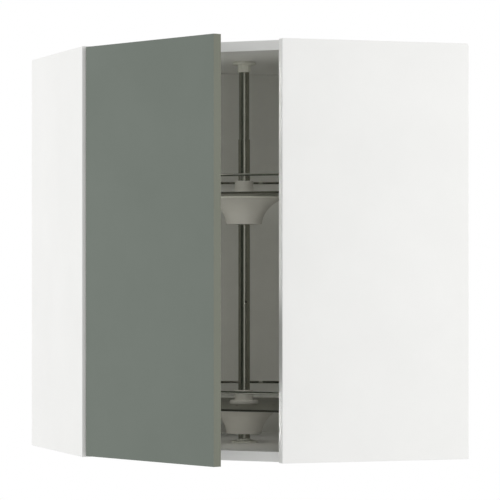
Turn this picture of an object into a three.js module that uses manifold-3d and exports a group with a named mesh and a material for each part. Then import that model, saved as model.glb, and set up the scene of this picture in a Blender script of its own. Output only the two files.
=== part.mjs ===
// Corner wall cabinet with a diagonal door and a two-shelf carousel.
//
// Millimetres, +Z up. The origin lies on the carousel's axis, on the underside of the bottom panel.
// The walls of the room are the planes x = POST_TO_WALL and y = POST_TO_WALL, so the hidden corner
// is at the back right and the diagonal door faces -X and -Y. The door is drawn ajar.

import * as THREE from "three";
import { mergeVertices } from "three/addons/utils/BufferGeometryUtils.js";
import Module from "manifold-3d";

const wasm = await Module();
wasm.setup();

// ---- Carcass -------------------------------------------------------------------------------

const WALL_LENGTH = 686; // length of the cabinet along each wall
const SIDE_DEPTH = 382; // depth of each side panel, out from its wall
const HEIGHT = 800;
const BOARD = 19; // thickness of the side, top and bottom panels
const POST_FORWARD = 2.5; // middle between a wall and the side panel facing it, out to the carousel axis
const FRONT_SETBACK = 36; // line of the outer front corners, back to the top and bottom panels' edges

const BACK_BOARD = 4; // thickness of the two back boards
const BACK_INSET = 8; // wall to the back boards
const GROOVE_DEPTH = 6; // how deep the back boards sit in the panels around them
const GROOVE_PLAY = 0.3; // clearance on each side of a back board in its groove
const CORNER_POST = 36; // square batten that joins the two back boards

// ---- Suspension brackets -------------------------------------------------------------------

const HANGER_WIDTH = 20; // out from the side panel
const HANGER_LENGTH = 52; // along the side panel
const HANGER_HEIGHT = 62;
const HANGER_DROP = 8; // underside of the top panel to the bracket
const HANGER_SHELL = 2; // wall of the bracket's housing
const HOOK_THICKNESS = 3;
const HOOK_HEIGHT = 30;
const HOOK_LIP = 8; // height of the lip that drops over the wall rail
const HOOK_RECESS = 1; // wall to the back of the hook

// ---- Door and its hinges -------------------------------------------------------------------

const DOOR_SIDE_REVEAL = 18; // outer front corner to the closed door's edge
const DOOR_END_REVEAL = 2; // cabinet's top or bottom to the door's end
const DOOR_THICKNESS = 17;
const DOOR_SETBACK = 15.5; // line of the outer front corners, back to the closed door's face
const DOOR_AJAR = 24.5; // degrees open, as drawn
const PIVOT_OUTBOARD = 21; // outer front corner, out along the front to the axis the door turns about
const PIVOT_DEPTH = 30.3; // line of the outer front corners, back to that axis

const HINGE_FROM_END = 97; // door's end to the middle of the nearer hinge
const CUP_RADIUS = 17.5;
const CUP_DEPTH = 12; // depth of the bore that the cup sits in
const CUP_FROM_EDGE = 21.5; // door's edge to the cup's centre
const CUP_WALL = 1.2;
const CUP_PLAY = 0.3; // clearance of the cup in its bore, and under its flange
const FLANGE_HEIGHT = 56;
const FLANGE_WIDTH = 22;
const FLANGE_THICKNESS = 1.4;

const PLATE_FROM_EDGE = 22; // side panel's front edge to the mounting plate
const PLATE_LENGTH = 44;
const PLATE_HEIGHT = 16;
const PLATE_WING = 14; // length of the two wings that take the screws
const PLATE_WING_HEIGHT = 46;
const PLATE_THICKNESS = 5;
const ARM_LENGTH = 60;
const ARM_WALL = 1.6;
const ARM_RAMP = 12; // length of the slope at the arm's rear end
const ARM_SLOT = 3; // eye of the long link, back to where the arm is closed over
const ARM_PIN_LIFT = 14.5; // side panel's inner face to the arm's pin
const ARM_PIN_FROM_EDGE = 26.4; // side panel's front edge, back to the arm's pin

const PIN_RADIUS = 1.5;
const EYE_RADIUS = 3.4;
const LINK_PLAY = 0.3; // clearance round the pins and between the links, the arm and the cup
const LONG_LINK_HEIGHT = 12;
const LONG_LINK_THICKNESS = 2.5;
const LONG_LINK_BOW = 17; // how far the long link bends clear of the side panel's front edge
const LONG_LINK_STEPS = 10;
const SHORT_LINK_WALL = 1.5;
const SHORT_LINK_THICKNESS = 3;
const SHORT_LINK_WEB = 12; // length of the bridge between the short link's two walls
const CUP_PIN_FROM_EDGE = 14; // door's edge to the pin in the cup
const CUP_PIN_DEPTH = 5.2; // door's back face, in to the pin in the cup

const BUMPER_RADIUS = 4.5;
const BUMPER_GAP = 0.3; // door to bumper, and bumper to the cabinet when the door is shut
const BUMPER_FROM_EDGE = 14; // door's free edge to the bumper's centre

// ---- Carousel ------------------------------------------------------------------------------

const LOWER_TUBE_RADIUS = 11.8;
const UPPER_TUBE_RADIUS = 10.4;
const TUBE_WALL = 1;
const LOWER_TUBE_TOP = 625.5; // height where the thinner tube comes out of the wider one
const TUBE_OVERLAP = 345; // how far the thinner tube reaches down inside the wider one
const LOCK_HEIGHT = 300.5; // height of the screw that locks the two tubes
const LOCK_RADIUS = 2;
const LOCK_PLAY = 0.3;

const BEARING_SEAT = 2; // thickness of the plate under each end of the post
const BEARING_PLAY = 0.4;
const FLOOR_FLANGE_RADIUS = 27.2;
const FLOOR_FLANGE_HEIGHT = 7.5;
const CEILING_FLANGE_RADIUS = 24.2;
const CEILING_FLANGE_HEIGHT = 6;
const CEILING_COLLAR_HEIGHT = 15;
const FLANGE_CHAMFER = 3;

const SHELF_HEIGHTS = { lower: 92, upper: 510.5 }; // underside of each shelf board
const SHELF_BOARD = 4;
const SHELF_SIDE_GAP = 51; // side panel's inner face to the shelf
const SHELF_FRONT_GAP = 65; // line of the outer front corners, back to the shelf's straight front
const SHELF_CORNER = 20; // radius where the straight front meets the round

const HUB_HEIGHT = 55;
const HUB_BOTTOM_RADIUS = 34;
const HUB_TOP_RADIUS = 90;
const HUB_WAIST = new THREE.Vector2(38, 40); // pulls the hub's side in to a flare
const HUB_WALL = 3;

const CLAMP_HEIGHT = 10; // ring clamped to the post inside the hub, which carries the shelf
const CLAMP_LIFT = 12; // hub's underside to the ring
const CLAMP_RADIUS = 17;
const WASHER_HEIGHT = 2;
const TURNING_PLAY = 0.5; // post to whatever turns on it

const SPOOL_RADIUS = 18.6; // collar that stands on the shelf board, round the post
const SPOOL_HEIGHT = 28;
const SPOOL_FLANGE_RADIUS = 28.8;
const SPOOL_FLANGE_HEIGHT = 7.5;
const SPOOL_SLEEVE_RADIUS = 16.5; // part of the spool that runs down through the board

const RAIL_HEIGHT = 32.5; // top of the shelf board to the middle of the rail
const RAIL_RADIUS = 2.5;
const RAIL_INSET = 4; // edge of the shelf board to the middle of the rail
const POST_WIDTH = 8; // along the rail
const POST_DEPTH = 6;
const FOOT_WIDTH = 13;
const FOOT_DEPTH = 8;
const FOOT_HEIGHT = 1.5;
const FOOT_CHAMFER = 2;
const POSTS_PER_SHELF = 8;
const POST_FROM_CORNER = 9.1; // degrees from the end of the shelf's round to the last rail post
const POST_PLAY = 0.3;

// ---- Roundness -----------------------------------------------------------------------------

const FINE = 48; // sides of the larger round pieces
const COARSE = 24; // sides of the smaller ones
const SHELF_STEPS = 56; // sides of the shelf's round part
const CORNER_STEPS = 4;
const WIRE_SIDES = 8;

// ---- Finishes ------------------------------------------------------------------------------

const finish = (color, roughness, metalness = 0) =>
  new THREE.MeshStandardMaterial({ color, roughness, metalness });

const whiteFoil = finish(0xf1f1ef, 0.45);
const backWhite = finish(0xdcdcd8, 0.6);
const greenLacquer = finish(0x767c74, 0.55);
const shelfBrown = finish(0x4b4b41, 0.4);
const warmGrey = finish(0x9a9892, 0.5);
const chrome = finish(0xc9c9c4, 0.15, 1);
const zincSteel = finish(0xa9abad, 0.35, 1);
const clearRubber = finish(0xd9d9d4, 0.7);

// ---- Places that several pieces share ------------------------------------------------------

const POST_TO_WALL = (WALL_LENGTH - BOARD) / 2 + POST_FORWARD; // carousel axis to each wall
const SIDE_OUTER = POST_TO_WALL - WALL_LENGTH; // outer face of a side panel
const SIDE_INNER = SIDE_OUTER + BOARD;
const SIDE_FRONT = POST_TO_WALL - SIDE_DEPTH; // front edge of a side panel
const FRONT_WIDTH = (SIDE_FRONT - SIDE_OUTER) * Math.SQRT2; // between the outer front corners
const FRONT_MIDDLE = (SIDE_OUTER + SIDE_FRONT) / 2; // x and y of the middle of the outer front line
const BACK_FACE = POST_TO_WALL - BACK_INSET; // rear face of the back boards
const UNDER_TOP = HEIGHT - BOARD;
const SHELF_RADIUS = -SIDE_INNER - SHELF_SIDE_GAP;
const SHELF_FLAT = -FRONT_MIDDLE * Math.SQRT2 - SHELF_FRONT_GAP; // axis to the straight front
const DOOR_WIDTH = FRONT_WIDTH - 2 * DOOR_SIDE_REVEAL;
const DOOR_BOTTOM = DOOR_END_REVEAL;
const DOOR_TOP = HEIGHT - DOOR_END_REVEAL;
const HINGE_HEIGHTS = {
  lower: DOOR_BOTTOM + HINGE_FROM_END,
  upper: DOOR_TOP - HINGE_FROM_END,
};
const DOOR_BACK = DOOR_SETBACK + DOOR_THICKNESS; // back face of the closed door
const AJAR = THREE.MathUtils.degToRad(DOOR_AJAR);

// In the front's own plan X runs along the closed door, and Y into the cabinet. A hinge has four
// pins there: the axis that the door turns about, the arm's pin, the elbow and the cup's pin. They
// are the corners of a parallelogram, so the long link turns with the door and the short link
// keeps its direction.
const DOOR_AXIS = new THREE.Vector2(-FRONT_WIDTH / 2 - PIVOT_OUTBOARD, PIVOT_DEPTH);
const ARM_PIN = new THREE.Vector2(
  (ARM_PIN_LIFT + SIDE_INNER - ARM_PIN_FROM_EDGE - SIDE_FRONT) / Math.SQRT2,
  (ARM_PIN_LIFT + SIDE_INNER + ARM_PIN_FROM_EDGE + SIDE_FRONT - 2 * FRONT_MIDDLE) / Math.SQRT2,
);
const LONG_LINK = new THREE.Vector2(
  PIVOT_OUTBOARD + DOOR_SIDE_REVEAL + CUP_PIN_FROM_EDGE,
  DOOR_BACK - CUP_PIN_DEPTH - PIVOT_DEPTH,
); // from the arm's pin to the elbow with the door shut
const SHORT_LINK = DOOR_AXIS.clone().sub(ARM_PIN); // from the elbow to the cup's pin
const ELBOW = LONG_LINK.clone().rotateAround(new THREE.Vector2(), -AJAR).add(ARM_PIN);

// ---- Shapes --------------------------------------------------------------------------------

/** A plate of the given outline, as [x, y] pairs, from z0 to z1. */
function slab(outline, z0, z1) {
  const shape = new THREE.Shape(outline.map(([x, y]) => new THREE.Vector2(x, y)));
  const plate = new THREE.ExtrudeGeometry(shape, { depth: z1 - z0, bevelEnabled: false });
  return plate.translate(0, 0, z0);
}

/** A box between two opposite corners. */
function block([x0, y0, z0], [x1, y1, z1]) {
  const box = new THREE.BoxGeometry(x1 - x0, y1 - y0, z1 - z0);
  return box.translate((x0 + x1) / 2, (y0 + y1) / 2, (z0 + z1) / 2);
}

/** A turned piece about the Z axis, from its profile as [radius, z] pairs. */
function turned(profile, sides = FINE) {
  const points = profile.map(([radius, z]) => new THREE.Vector2(radius, z));
  return new THREE.LatheGeometry(points, sides).rotateX(Math.PI / 2);
}

/** A turned ring or tube: its profile closes on itself. */
function ring(inner, outer, z0, z1, sides = FINE) {
  const profile = [[inner, z0], [outer, z0], [outer, z1], [inner, z1], [inner, z0]];
  return turned(profile, sides);
}

/** A round bar along Z. */
function rod(radius, z0, z1, sides = COARSE) {
  return turned([[0, z0], [radius, z0], [radius, z1], [0, z1]], sides);
}

/** The closed solid of a geometry, for joining and cutting. */
function solid(geometry) {
  const bare = geometry.clone();
  bare.deleteAttribute("normal");
  bare.deleteAttribute("uv");
  const merged = mergeVertices(bare, 1e-4);
  return new wasm.Manifold(new wasm.Mesh({
    numProp: 3,
    vertProperties: merged.attributes.position.array,
    triVerts: new Uint32Array(merged.index.array),
  }));
}

/** The geometry of a closed solid. */
function geometryOf(manifold) {
  const mesh = manifold.getMesh();
  const geometry = new THREE.BufferGeometry();
  geometry.setAttribute("position", new THREE.BufferAttribute(mesh.vertProperties, 3));
  geometry.setIndex(new THREE.BufferAttribute(mesh.triVerts, 1));
  const flat = geometry.toNonIndexed();
  flat.computeVertexNormals();
  return flat;
}

/** The geometry with every cutter taken out of it. */
function cut(geometry, ...cutters) {
  return geometryOf(cutters.reduce((rest, cutter) => rest.subtract(solid(cutter)), solid(geometry)));
}

/** Two geometries made into one solid. */
function join(first, second) {
  return geometryOf(solid(first).add(solid(second)));
}

/** Points along an arc, both ends included. */
function arc(x, y, radius, from, to, steps) {
  return Array.from({ length: steps + 1 }, (_, i) => {
    const angle = from + ((to - from) * i) / steps;
    return [x + radius * Math.cos(angle), y + radius * Math.sin(angle)];
  });
}

/** The outline of a shelf, drawn in by an inset: round, with a straight front towards -Y. */
function shelfOutline(inset) {
  const radius = SHELF_RADIUS - inset;
  const corner = SHELF_CORNER - inset;
  const y = -(SHELF_FLAT - SHELF_CORNER);
  const x = Math.sqrt((radius - corner) ** 2 - y ** 2);
  const start = Math.atan2(y, x);
  return [
    ...arc(x, y, corner, -Math.PI / 2, start, CORNER_STEPS),
    ...arc(0, 0, radius, start, Math.PI - start, SHELF_STEPS).slice(1),
    ...arc(-x, y, corner, Math.PI - start, 1.5 * Math.PI, CORNER_STEPS).slice(1),
  ];
}

/** A round wire along a closed, level loop of points. */
function wireLoop(loop, radius, z) {
  const positions = [];
  const indices = [];
  const count = loop.length;
  loop.forEach(([x, y], i) => {
    const [xa, ya] = loop[(i + count - 1) % count];
    const [xb, yb] = loop[(i + 1) % count];
    const outward = new THREE.Vector2(yb - ya, xa - xb).normalize();
    for (let side = 0; side < WIRE_SIDES; side++) {
      const angle = (2 * Math.PI * side) / WIRE_SIDES;
      const out = radius * Math.cos(angle);
      positions.push(x + out * outward.x, y + out * outward.y, z + radius * Math.sin(angle));
      const a = i * WIRE_SIDES + side;
      const b = i * WIRE_SIDES + ((side + 1) % WIRE_SIDES);
      const c = ((i + 1) % count) * WIRE_SIDES + ((side + 1) % WIRE_SIDES);
      const d = ((i + 1) % count) * WIRE_SIDES + side;
      indices.push(a, d, b, b, d, c);
    }
  });
  const geometry = new THREE.BufferGeometry();
  geometry.setAttribute("position", new THREE.Float32BufferAttribute(positions, 3));
  geometry.setIndex(indices);
  const flat = geometry.toNonIndexed();
  flat.computeVertexNormals();
  return flat;
}

/** A named piece in its finish. */
function piece(parent, name, geometry, material) {
  const mesh = new THREE.Mesh(geometry, material);
  mesh.name = name;
  parent.add(mesh);
  return mesh;
}

// ---- Carcass pieces ------------------------------------------------------------------------

/** The space of a back board's groove along the wall at +Y, from x0 to x1. */
function backGroove(x0, x1, z0, z1) {
  const front = BACK_FACE - BACK_BOARD - GROOVE_PLAY;
  return block([x0, front, z0], [x1, BACK_FACE + GROOVE_PLAY, z1]);
}

/** The same space along the wall at +X. */
function sideGroove(y0, y1, z0, z1) {
  const front = BACK_FACE - BACK_BOARD - GROOVE_PLAY;
  return block([front, y0, z0], [BACK_FACE + GROOVE_PLAY, y1, z1]);
}

/** The five-sided panel between the side panels, with grooves for the back boards. */
function levelPanel(z0, z1, grooveFrom, grooveTo) {
  const front = 2 * FRONT_MIDDLE + FRONT_SETBACK * Math.SQRT2; // x + y along the front edge
  const outline = [
    [SIDE_INNER, front - SIDE_INNER],
    [front - SIDE_INNER, SIDE_INNER],
    [POST_TO_WALL, SIDE_INNER],
    [POST_TO_WALL, POST_TO_WALL],
    [SIDE_INNER, POST_TO_WALL],
  ];
  return cut(
    slab(outline, z0, z1),
    backGroove(SIDE_INNER - 1, BACK_FACE, grooveFrom, grooveTo),
    sideGroove(SIDE_INNER - 1, BACK_FACE, grooveFrom, grooveTo),
  );
}

/** The pieces on the left of the cabinet; the right has the same ones, mirrored on the diagonal. */
function wing(side) {
  const group = new THREE.Group();
  if (side === "right") {
    group.rotation.z = -Math.PI / 2;
    group.scale.x = -1;
  }
  const boardFront = BACK_FACE - BACK_BOARD;
  const panel = cut(
    block([SIDE_OUTER, SIDE_FRONT, 0], [SIDE_INNER, POST_TO_WALL, HEIGHT]),
    backGroove(SIDE_INNER - GROOVE_DEPTH, SIDE_INNER + 1, -1, HEIGHT + 1),
  );
  piece(group, `${side}_side_panel`, panel, whiteFoil);

  const hangerTop = UNDER_TOP - HANGER_DROP;
  const hangerMiddle = SIDE_INNER + HANGER_WIDTH / 2;
  const hookMiddle = hangerTop - HANGER_HEIGHT / 2;
  const tongueDepth = GROOVE_DEPTH - GROOVE_PLAY;
  const backBoard = cut(
    block(
      [SIDE_INNER - tongueDepth, boardFront, BOARD - tongueDepth],
      [BACK_FACE - CORNER_POST + tongueDepth, BACK_FACE, UNDER_TOP + tongueDepth],
    ),
    block(
      [hangerMiddle - HOOK_THICKNESS, boardFront - 1, hookMiddle - HOOK_HEIGHT],
      [hangerMiddle + HOOK_THICKNESS, BACK_FACE + 1, hookMiddle + HOOK_HEIGHT],
    ),
  );
  piece(group, `back_board_${side}`, backBoard, backWhite);

  const hangerFront = boardFront - HANGER_LENGTH;
  const hangerBottom = hangerTop - HANGER_HEIGHT;
  const housing = cut(
    block(
      [SIDE_INNER, hangerFront, hangerBottom],
      [SIDE_INNER + HANGER_WIDTH, boardFront, hangerTop],
    ),
    block(
      [SIDE_INNER + HANGER_SHELL, hangerFront + HANGER_SHELL, hangerBottom + HANGER_SHELL],
      [SIDE_INNER + HANGER_WIDTH - HANGER_SHELL, boardFront + 1, hangerTop - HANGER_SHELL],
    ),
  );
  piece(group, `hanger_housing_${side}`, housing, warmGrey);

  const hookBack = POST_TO_WALL - HOOK_RECESS;
  const tongue = hangerFront + HANGER_SHELL + GROOVE_PLAY;
  const hookSide = [
    [tongue, hookMiddle - HOOK_HEIGHT / 2],
    [hookBack, hookMiddle - HOOK_HEIGHT / 2],
    [hookBack, hookMiddle - HOOK_HEIGHT / 2 + HOOK_LIP],
    [hookBack - HOOK_THICKNESS, hookMiddle - HOOK_HEIGHT / 2 + HOOK_LIP],
    [hookBack - HOOK_THICKNESS, hookMiddle - HOOK_HEIGHT / 2 + HOOK_THICKNESS],
    [boardFront, hookMiddle - HOOK_HEIGHT / 2 + HOOK_THICKNESS],
    [boardFront, hookMiddle + HOOK_HEIGHT / 2],
    [tongue, hookMiddle + HOOK_HEIGHT / 2],
  ];
  const hook = slab(hookSide, -HOOK_THICKNESS / 2, HOOK_THICKNESS / 2);
  hook.rotateX(Math.PI / 2).rotateZ(Math.PI / 2).translate(hangerMiddle, 0, 0);
  piece(group, `hanger_hook_${side}`, hook, zincSteel);
  return group;
}

/** The square batten in the hidden corner, rebated for the ends of the back boards. */
function cornerPost() {
  const near = BACK_FACE - CORNER_POST;
  const rebate = near + GROOVE_DEPTH;
  const front = BACK_FACE - BACK_BOARD - GROOVE_PLAY;
  return slab(
    [
      [near, near],
      [front, near],
      [front, rebate],
      [BACK_FACE, rebate],
      [BACK_FACE, BACK_FACE],
      [rebate, BACK_FACE],
      [rebate, front],
      [near, front],
    ],
    BOARD,
    UNDER_TOP,
  );
}

// ---- Door pieces ---------------------------------------------------------------------------

// In the door's group X runs along the closed door from its hinge edge, and Y into the cabinet.

/** The bar across the cup's mouth that is screwed to the door, and the cup itself. */
function hingeCup() {
  const back = DOOR_THICKNESS + CUP_PLAY;
  const bottom = DOOR_THICKNESS - CUP_DEPTH + CUP_PLAY;
  const flange = block(
    [-FLANGE_WIDTH / 2, back, -FLANGE_HEIGHT / 2],
    [FLANGE_WIDTH / 2, back + FLANGE_THICKNESS, FLANGE_HEIGHT / 2],
  );
  const outer = rod(CUP_RADIUS, bottom, back + FLANGE_THICKNESS, FINE).rotateX(-Math.PI / 2);
  const inside = CUP_RADIUS - CUP_WALL;
  const hollow = rod(inside, bottom + CUP_WALL, back + CUP_DEPTH, FINE);
  const shell = cut(join(flange, outer), hollow.rotateX(-Math.PI / 2));
  const aside = CUP_PIN_FROM_EDGE - CUP_FROM_EDGE;
  const reach = Math.sqrt(inside ** 2 - aside ** 2) + CUP_WALL / 2;
  const pin = rod(PIN_RADIUS, -reach, reach, 12);
  return join(shell, pin.translate(aside, DOOR_THICKNESS - CUP_PIN_DEPTH, 0));
}

/** The door, its hinge cups and its bumpers, turned about the hinge axis. */
function door() {
  const group = new THREE.Group();
  group.position.set(DOOR_AXIS.x, DOOR_AXIS.y, 0);
  group.rotation.z = -AJAR;
  const leaf = new THREE.Group();
  leaf.position.set(PIVOT_OUTBOARD + DOOR_SIDE_REVEAL, DOOR_SETBACK - PIVOT_DEPTH, 0);
  group.add(leaf);

  let panel = block([0, 0, DOOR_BOTTOM], [DOOR_WIDTH, DOOR_THICKNESS, DOOR_TOP]);
  for (const [level, z] of Object.entries(HINGE_HEIGHTS)) {
    const bore = rod(CUP_RADIUS + CUP_PLAY, DOOR_THICKNESS - CUP_DEPTH, DOOR_THICKNESS + 1, FINE);
    panel = cut(panel, bore.rotateX(-Math.PI / 2).translate(CUP_FROM_EDGE, 0, z));
    const cup = piece(leaf, `hinge_cup_${level}`, hingeCup(), zincSteel);
    cup.position.set(CUP_FROM_EDGE, 0, z);
  }
  piece(leaf, "door_panel", panel, greenLacquer);

  const bumperHeights = { lower: BOARD / 2, upper: HEIGHT - BOARD / 2 };
  const gap = FRONT_SETBACK - DOOR_BACK;
  for (const [level, z] of Object.entries(bumperHeights)) {
    const dot = rod(BUMPER_RADIUS, BUMPER_GAP, gap - BUMPER_GAP, COARSE).rotateX(-Math.PI / 2);
    const bumper = piece(leaf, `door_bumper_${level}`, dot, clearRubber);
    bumper.position.set(DOOR_WIDTH - BUMPER_FROM_EDGE, DOOR_THICKNESS, z);
  }
  return group;
}

/** The cross-shaped plate that is screwed to the side panel, lying in the XY plane. */
function mountingPlate() {
  const wingFrom = (PLATE_LENGTH - PLATE_WING) / 2;
  const wingTo = wingFrom + PLATE_WING;
  const half = PLATE_HEIGHT / 2;
  const tip = PLATE_WING_HEIGHT / 2;
  return slab(
    [
      [0, -half],
      [wingFrom, -half],
      [wingFrom, -tip],
      [wingTo, -tip],
      [wingTo, -half],
      [PLATE_LENGTH, -half],
      [PLATE_LENGTH, half],
      [wingTo, half],
      [wingTo, tip],
      [wingFrom, tip],
      [wingFrom, half],
      [0, half],
    ],
    0,
    PLATE_THICKNESS,
  );
}

/** A bent bar of the given thickness through the points, from z0 to z1, with round ends. */
function bentBar(points, thickness, eye, z0, z1) {
  const parts = points.slice(1).map((to, i) => {
    const from = points[i];
    const run = to.clone().sub(from);
    const half = thickness / 2;
    const bar = slab([[0, -half], [run.length(), -half], [run.length(), half], [0, half]], z0, z1);
    return bar.rotateZ(run.angle()).translate(from.x, from.y, 0);
  });
  points.forEach(({ x, y }, i) => {
    const isEnd = i === 0 || i === points.length - 1;
    parts.push(rod(isEnd ? eye : thickness / 2, z0, z1, 16).translate(x, y, 0));
  });
  return parts.reduce((whole, part) => join(whole, part));
}

/** The long link, along X from the arm's pin to the elbow, bowed towards +Y. */
function longLink() {
  const length = LONG_LINK.length();
  const points = Array.from({ length: LONG_LINK_STEPS + 1 }, (_, i) => {
    const t = i / LONG_LINK_STEPS;
    return new THREE.Vector2(t * length, LONG_LINK_BOW * (1 - Math.abs(2 * t - 1) ** 2.5));
  });
  const half = LONG_LINK_HEIGHT / 2;
  const bar = bentBar(points, LONG_LINK_THICKNESS, EYE_RADIUS, -half, half);
  const hole = rod(PIN_RADIUS + LINK_PLAY, -half - 1, half + 1, 16);
  return cut(bar, hole, hole.clone().translate(length, 0, 0));
}

/** The short link, from the elbow at the origin, with the elbow's pin. */
function shortLink() {
  const inner = LONG_LINK_HEIGHT / 2 + LINK_PLAY;
  const outer = inner + SHORT_LINK_WALL;
  const ends = [new THREE.Vector2(), SHORT_LINK];
  const wall = (z0, z1) => bentBar(ends, SHORT_LINK_THICKNESS, EYE_RADIUS, z0, z1);
  const webStart = (SHORT_LINK.length() - SHORT_LINK_WEB) / 2;
  const half = SHORT_LINK_THICKNESS / 2;
  const web = block([webStart, -half, -inner], [webStart + SHORT_LINK_WEB, half, inner]);
  const walls = join(wall(inner, outer), wall(-outer, -inner));
  const body = join(walls, web.rotateZ(SHORT_LINK.angle()));
  const hole = rod(PIN_RADIUS + LINK_PLAY, -outer - 1, outer + 1, 16);
  const holed = cut(body, hole.translate(SHORT_LINK.x, SHORT_LINK.y, 0));
  return join(holed, rod(PIN_RADIUS, -outer, outer, 12));
}

/** The hinge arm: a channel over the mounting plate, open at the front for the long link. */
function hingeArm() {
  const lift = ARM_PIN_LIFT - PLATE_THICKNESS;
  const nose = ARM_PIN_FROM_EDGE - EYE_RADIUS;
  const top = lift + EYE_RADIUS;
  const rear = nose + ARM_LENGTH;
  const inner = LONG_LINK_HEIGHT / 2 + LINK_PLAY;
  const outer = inner + ARM_WALL;
  const outline = [
    [0, nose],
    [lift, nose],
    [top, nose + EYE_RADIUS],
    [top, rear - ARM_RAMP],
    [ARM_WALL, rear],
    [0, rear],
  ];
  const slotEnd = ARM_PIN_FROM_EDGE + EYE_RADIUS + ARM_SLOT;
  const channel = cut(
    slab(outline, -outer, outer),
    block([-1, nose - 1, -inner], [top + 1, slotEnd, inner]),
    block([-1, nose, -inner], [top - ARM_WALL, rear - ARM_RAMP, inner]),
  );
  return join(channel, rod(PIN_RADIUS, -outer, outer, 12).translate(lift, ARM_PIN_FROM_EDGE, 0));
}

/** The links of both hinges, in the front's own plan. */
function hingeLinks() {
  const group = new THREE.Group();
  for (const [level, z] of Object.entries(HINGE_HEIGHTS)) {
    const long = piece(group, `hinge_long_link_${level}`, longLink(), zincSteel);
    long.position.set(ARM_PIN.x, ARM_PIN.y, z);
    long.rotation.z = ELBOW.clone().sub(ARM_PIN).angle();
    const short = piece(group, `hinge_short_link_${level}`, shortLink(), zincSteel);
    short.position.set(ELBOW.x, ELBOW.y, z);
  }
  return group;
}

/** The two mounting plates and arms on the left side panel. */
function hingeSeats() {
  const group = new THREE.Group();
  for (const [level, z] of Object.entries(HINGE_HEIGHTS)) {
    const plate = mountingPlate().rotateX(Math.PI / 2).rotateZ(Math.PI / 2);
    const seat = piece(group, `hinge_plate_${level}`, plate, zincSteel);
    seat.position.set(SIDE_INNER, SIDE_FRONT + PLATE_FROM_EDGE, z);
    const arm = piece(group, `hinge_arm_${level}`, hingeArm(), zincSteel);
    arm.position.set(SIDE_INNER + PLATE_THICKNESS, SIDE_FRONT, z);
  }
  return group;
}

// ---- Carousel pieces -----------------------------------------------------------------------

/** The fixed post: two tubes, one inside the other, between the floor and ceiling bearings. */
function post() {
  const group = new THREE.Group();
  const lowerBore = LOWER_TUBE_RADIUS + BEARING_PLAY;
  const upperBore = UPPER_TUBE_RADIUS + BEARING_PLAY;
  const floorTop = BOARD + FLOOR_FLANGE_HEIGHT;
  const floorBearing = turned([
    [0, BOARD],
    [FLOOR_FLANGE_RADIUS, BOARD],
    [FLOOR_FLANGE_RADIUS, floorTop - FLANGE_CHAMFER],
    [FLOOR_FLANGE_RADIUS - FLANGE_CHAMFER, floorTop],
    [lowerBore, floorTop],
    [lowerBore, BOARD + BEARING_SEAT],
    [0, BOARD + BEARING_SEAT],
  ]);
  piece(group, "floor_bearing", floorBearing, warmGrey);

  const flangeBottom = UNDER_TOP - CEILING_FLANGE_HEIGHT;
  const collarBottom = flangeBottom - CEILING_COLLAR_HEIGHT;
  const ceilingBearing = turned([
    [0, UNDER_TOP - BEARING_SEAT],
    [upperBore, UNDER_TOP - BEARING_SEAT],
    [upperBore, collarBottom],
    [LOWER_TUBE_RADIUS, collarBottom],
    [LOWER_TUBE_RADIUS, flangeBottom],
    [CEILING_FLANGE_RADIUS - FLANGE_CHAMFER, flangeBottom],
    [CEILING_FLANGE_RADIUS, flangeBottom + FLANGE_CHAMFER],
    [CEILING_FLANGE_RADIUS, UNDER_TOP],
    [0, UNDER_TOP],
  ]);
  piece(group, "ceiling_bearing", ceilingBearing, warmGrey);

  const lowerInside = LOWER_TUBE_RADIUS - TUBE_WALL;
  const lockHole = rod(LOCK_RADIUS + LOCK_PLAY, 0, LOWER_TUBE_RADIUS + 1);
  lockHole.rotateX(Math.PI / 2).translate(0, 0, LOCK_HEIGHT);
  const lowerTube = cut(
    ring(lowerInside, LOWER_TUBE_RADIUS, BOARD + BEARING_SEAT, LOWER_TUBE_TOP),
    lockHole,
  );
  piece(group, "post_lower_tube", lowerTube, chrome);

  const upperBottom = LOWER_TUBE_TOP - TUBE_OVERLAP;
  const upperTube = ring(
    UPPER_TUBE_RADIUS - TUBE_WALL,
    UPPER_TUBE_RADIUS,
    upperBottom,
    UNDER_TOP - BEARING_SEAT,
  );
  piece(group, "post_upper_tube", upperTube, chrome);

  const screw = rod(LOCK_RADIUS, UPPER_TUBE_RADIUS + 0.1, LOWER_TUBE_RADIUS - 0.2);
  screw.rotateX(Math.PI / 2).translate(0, 0, LOCK_HEIGHT);
  piece(group, "post_lock_screw", screw, zincSteel);
  return group;
}

/** The flared hub: a bowl under the shelf board, open upwards, with the post through it. */
function hub(bottom) {
  const top = bottom + HUB_HEIGHT;
  const bore = LOWER_TUBE_RADIUS + TURNING_PLAY;
  const flare = (shrink) => new THREE.QuadraticBezierCurve(
    new THREE.Vector2(HUB_BOTTOM_RADIUS - shrink, bottom),
    new THREE.Vector2(HUB_WAIST.x - shrink, bottom + HUB_WAIST.y),
    new THREE.Vector2(HUB_TOP_RADIUS - shrink, top),
  );
  const outside = flare(0).getPoints(10).map(({ x, y }) => [x, y]);
  const inside = flare(HUB_WALL).getPoints(10).map(({ x, y }) => [x, y]);
  const floor = inside.filter(([, z]) => z > bottom + HUB_WALL).reverse();
  return turned([
    [bore, bottom],
    ...outside,
    ...floor,
    [HUB_BOTTOM_RADIUS - HUB_WALL, bottom + HUB_WALL],
    [bore, bottom + HUB_WALL],
    [bore, bottom],
  ]);
}

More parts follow.
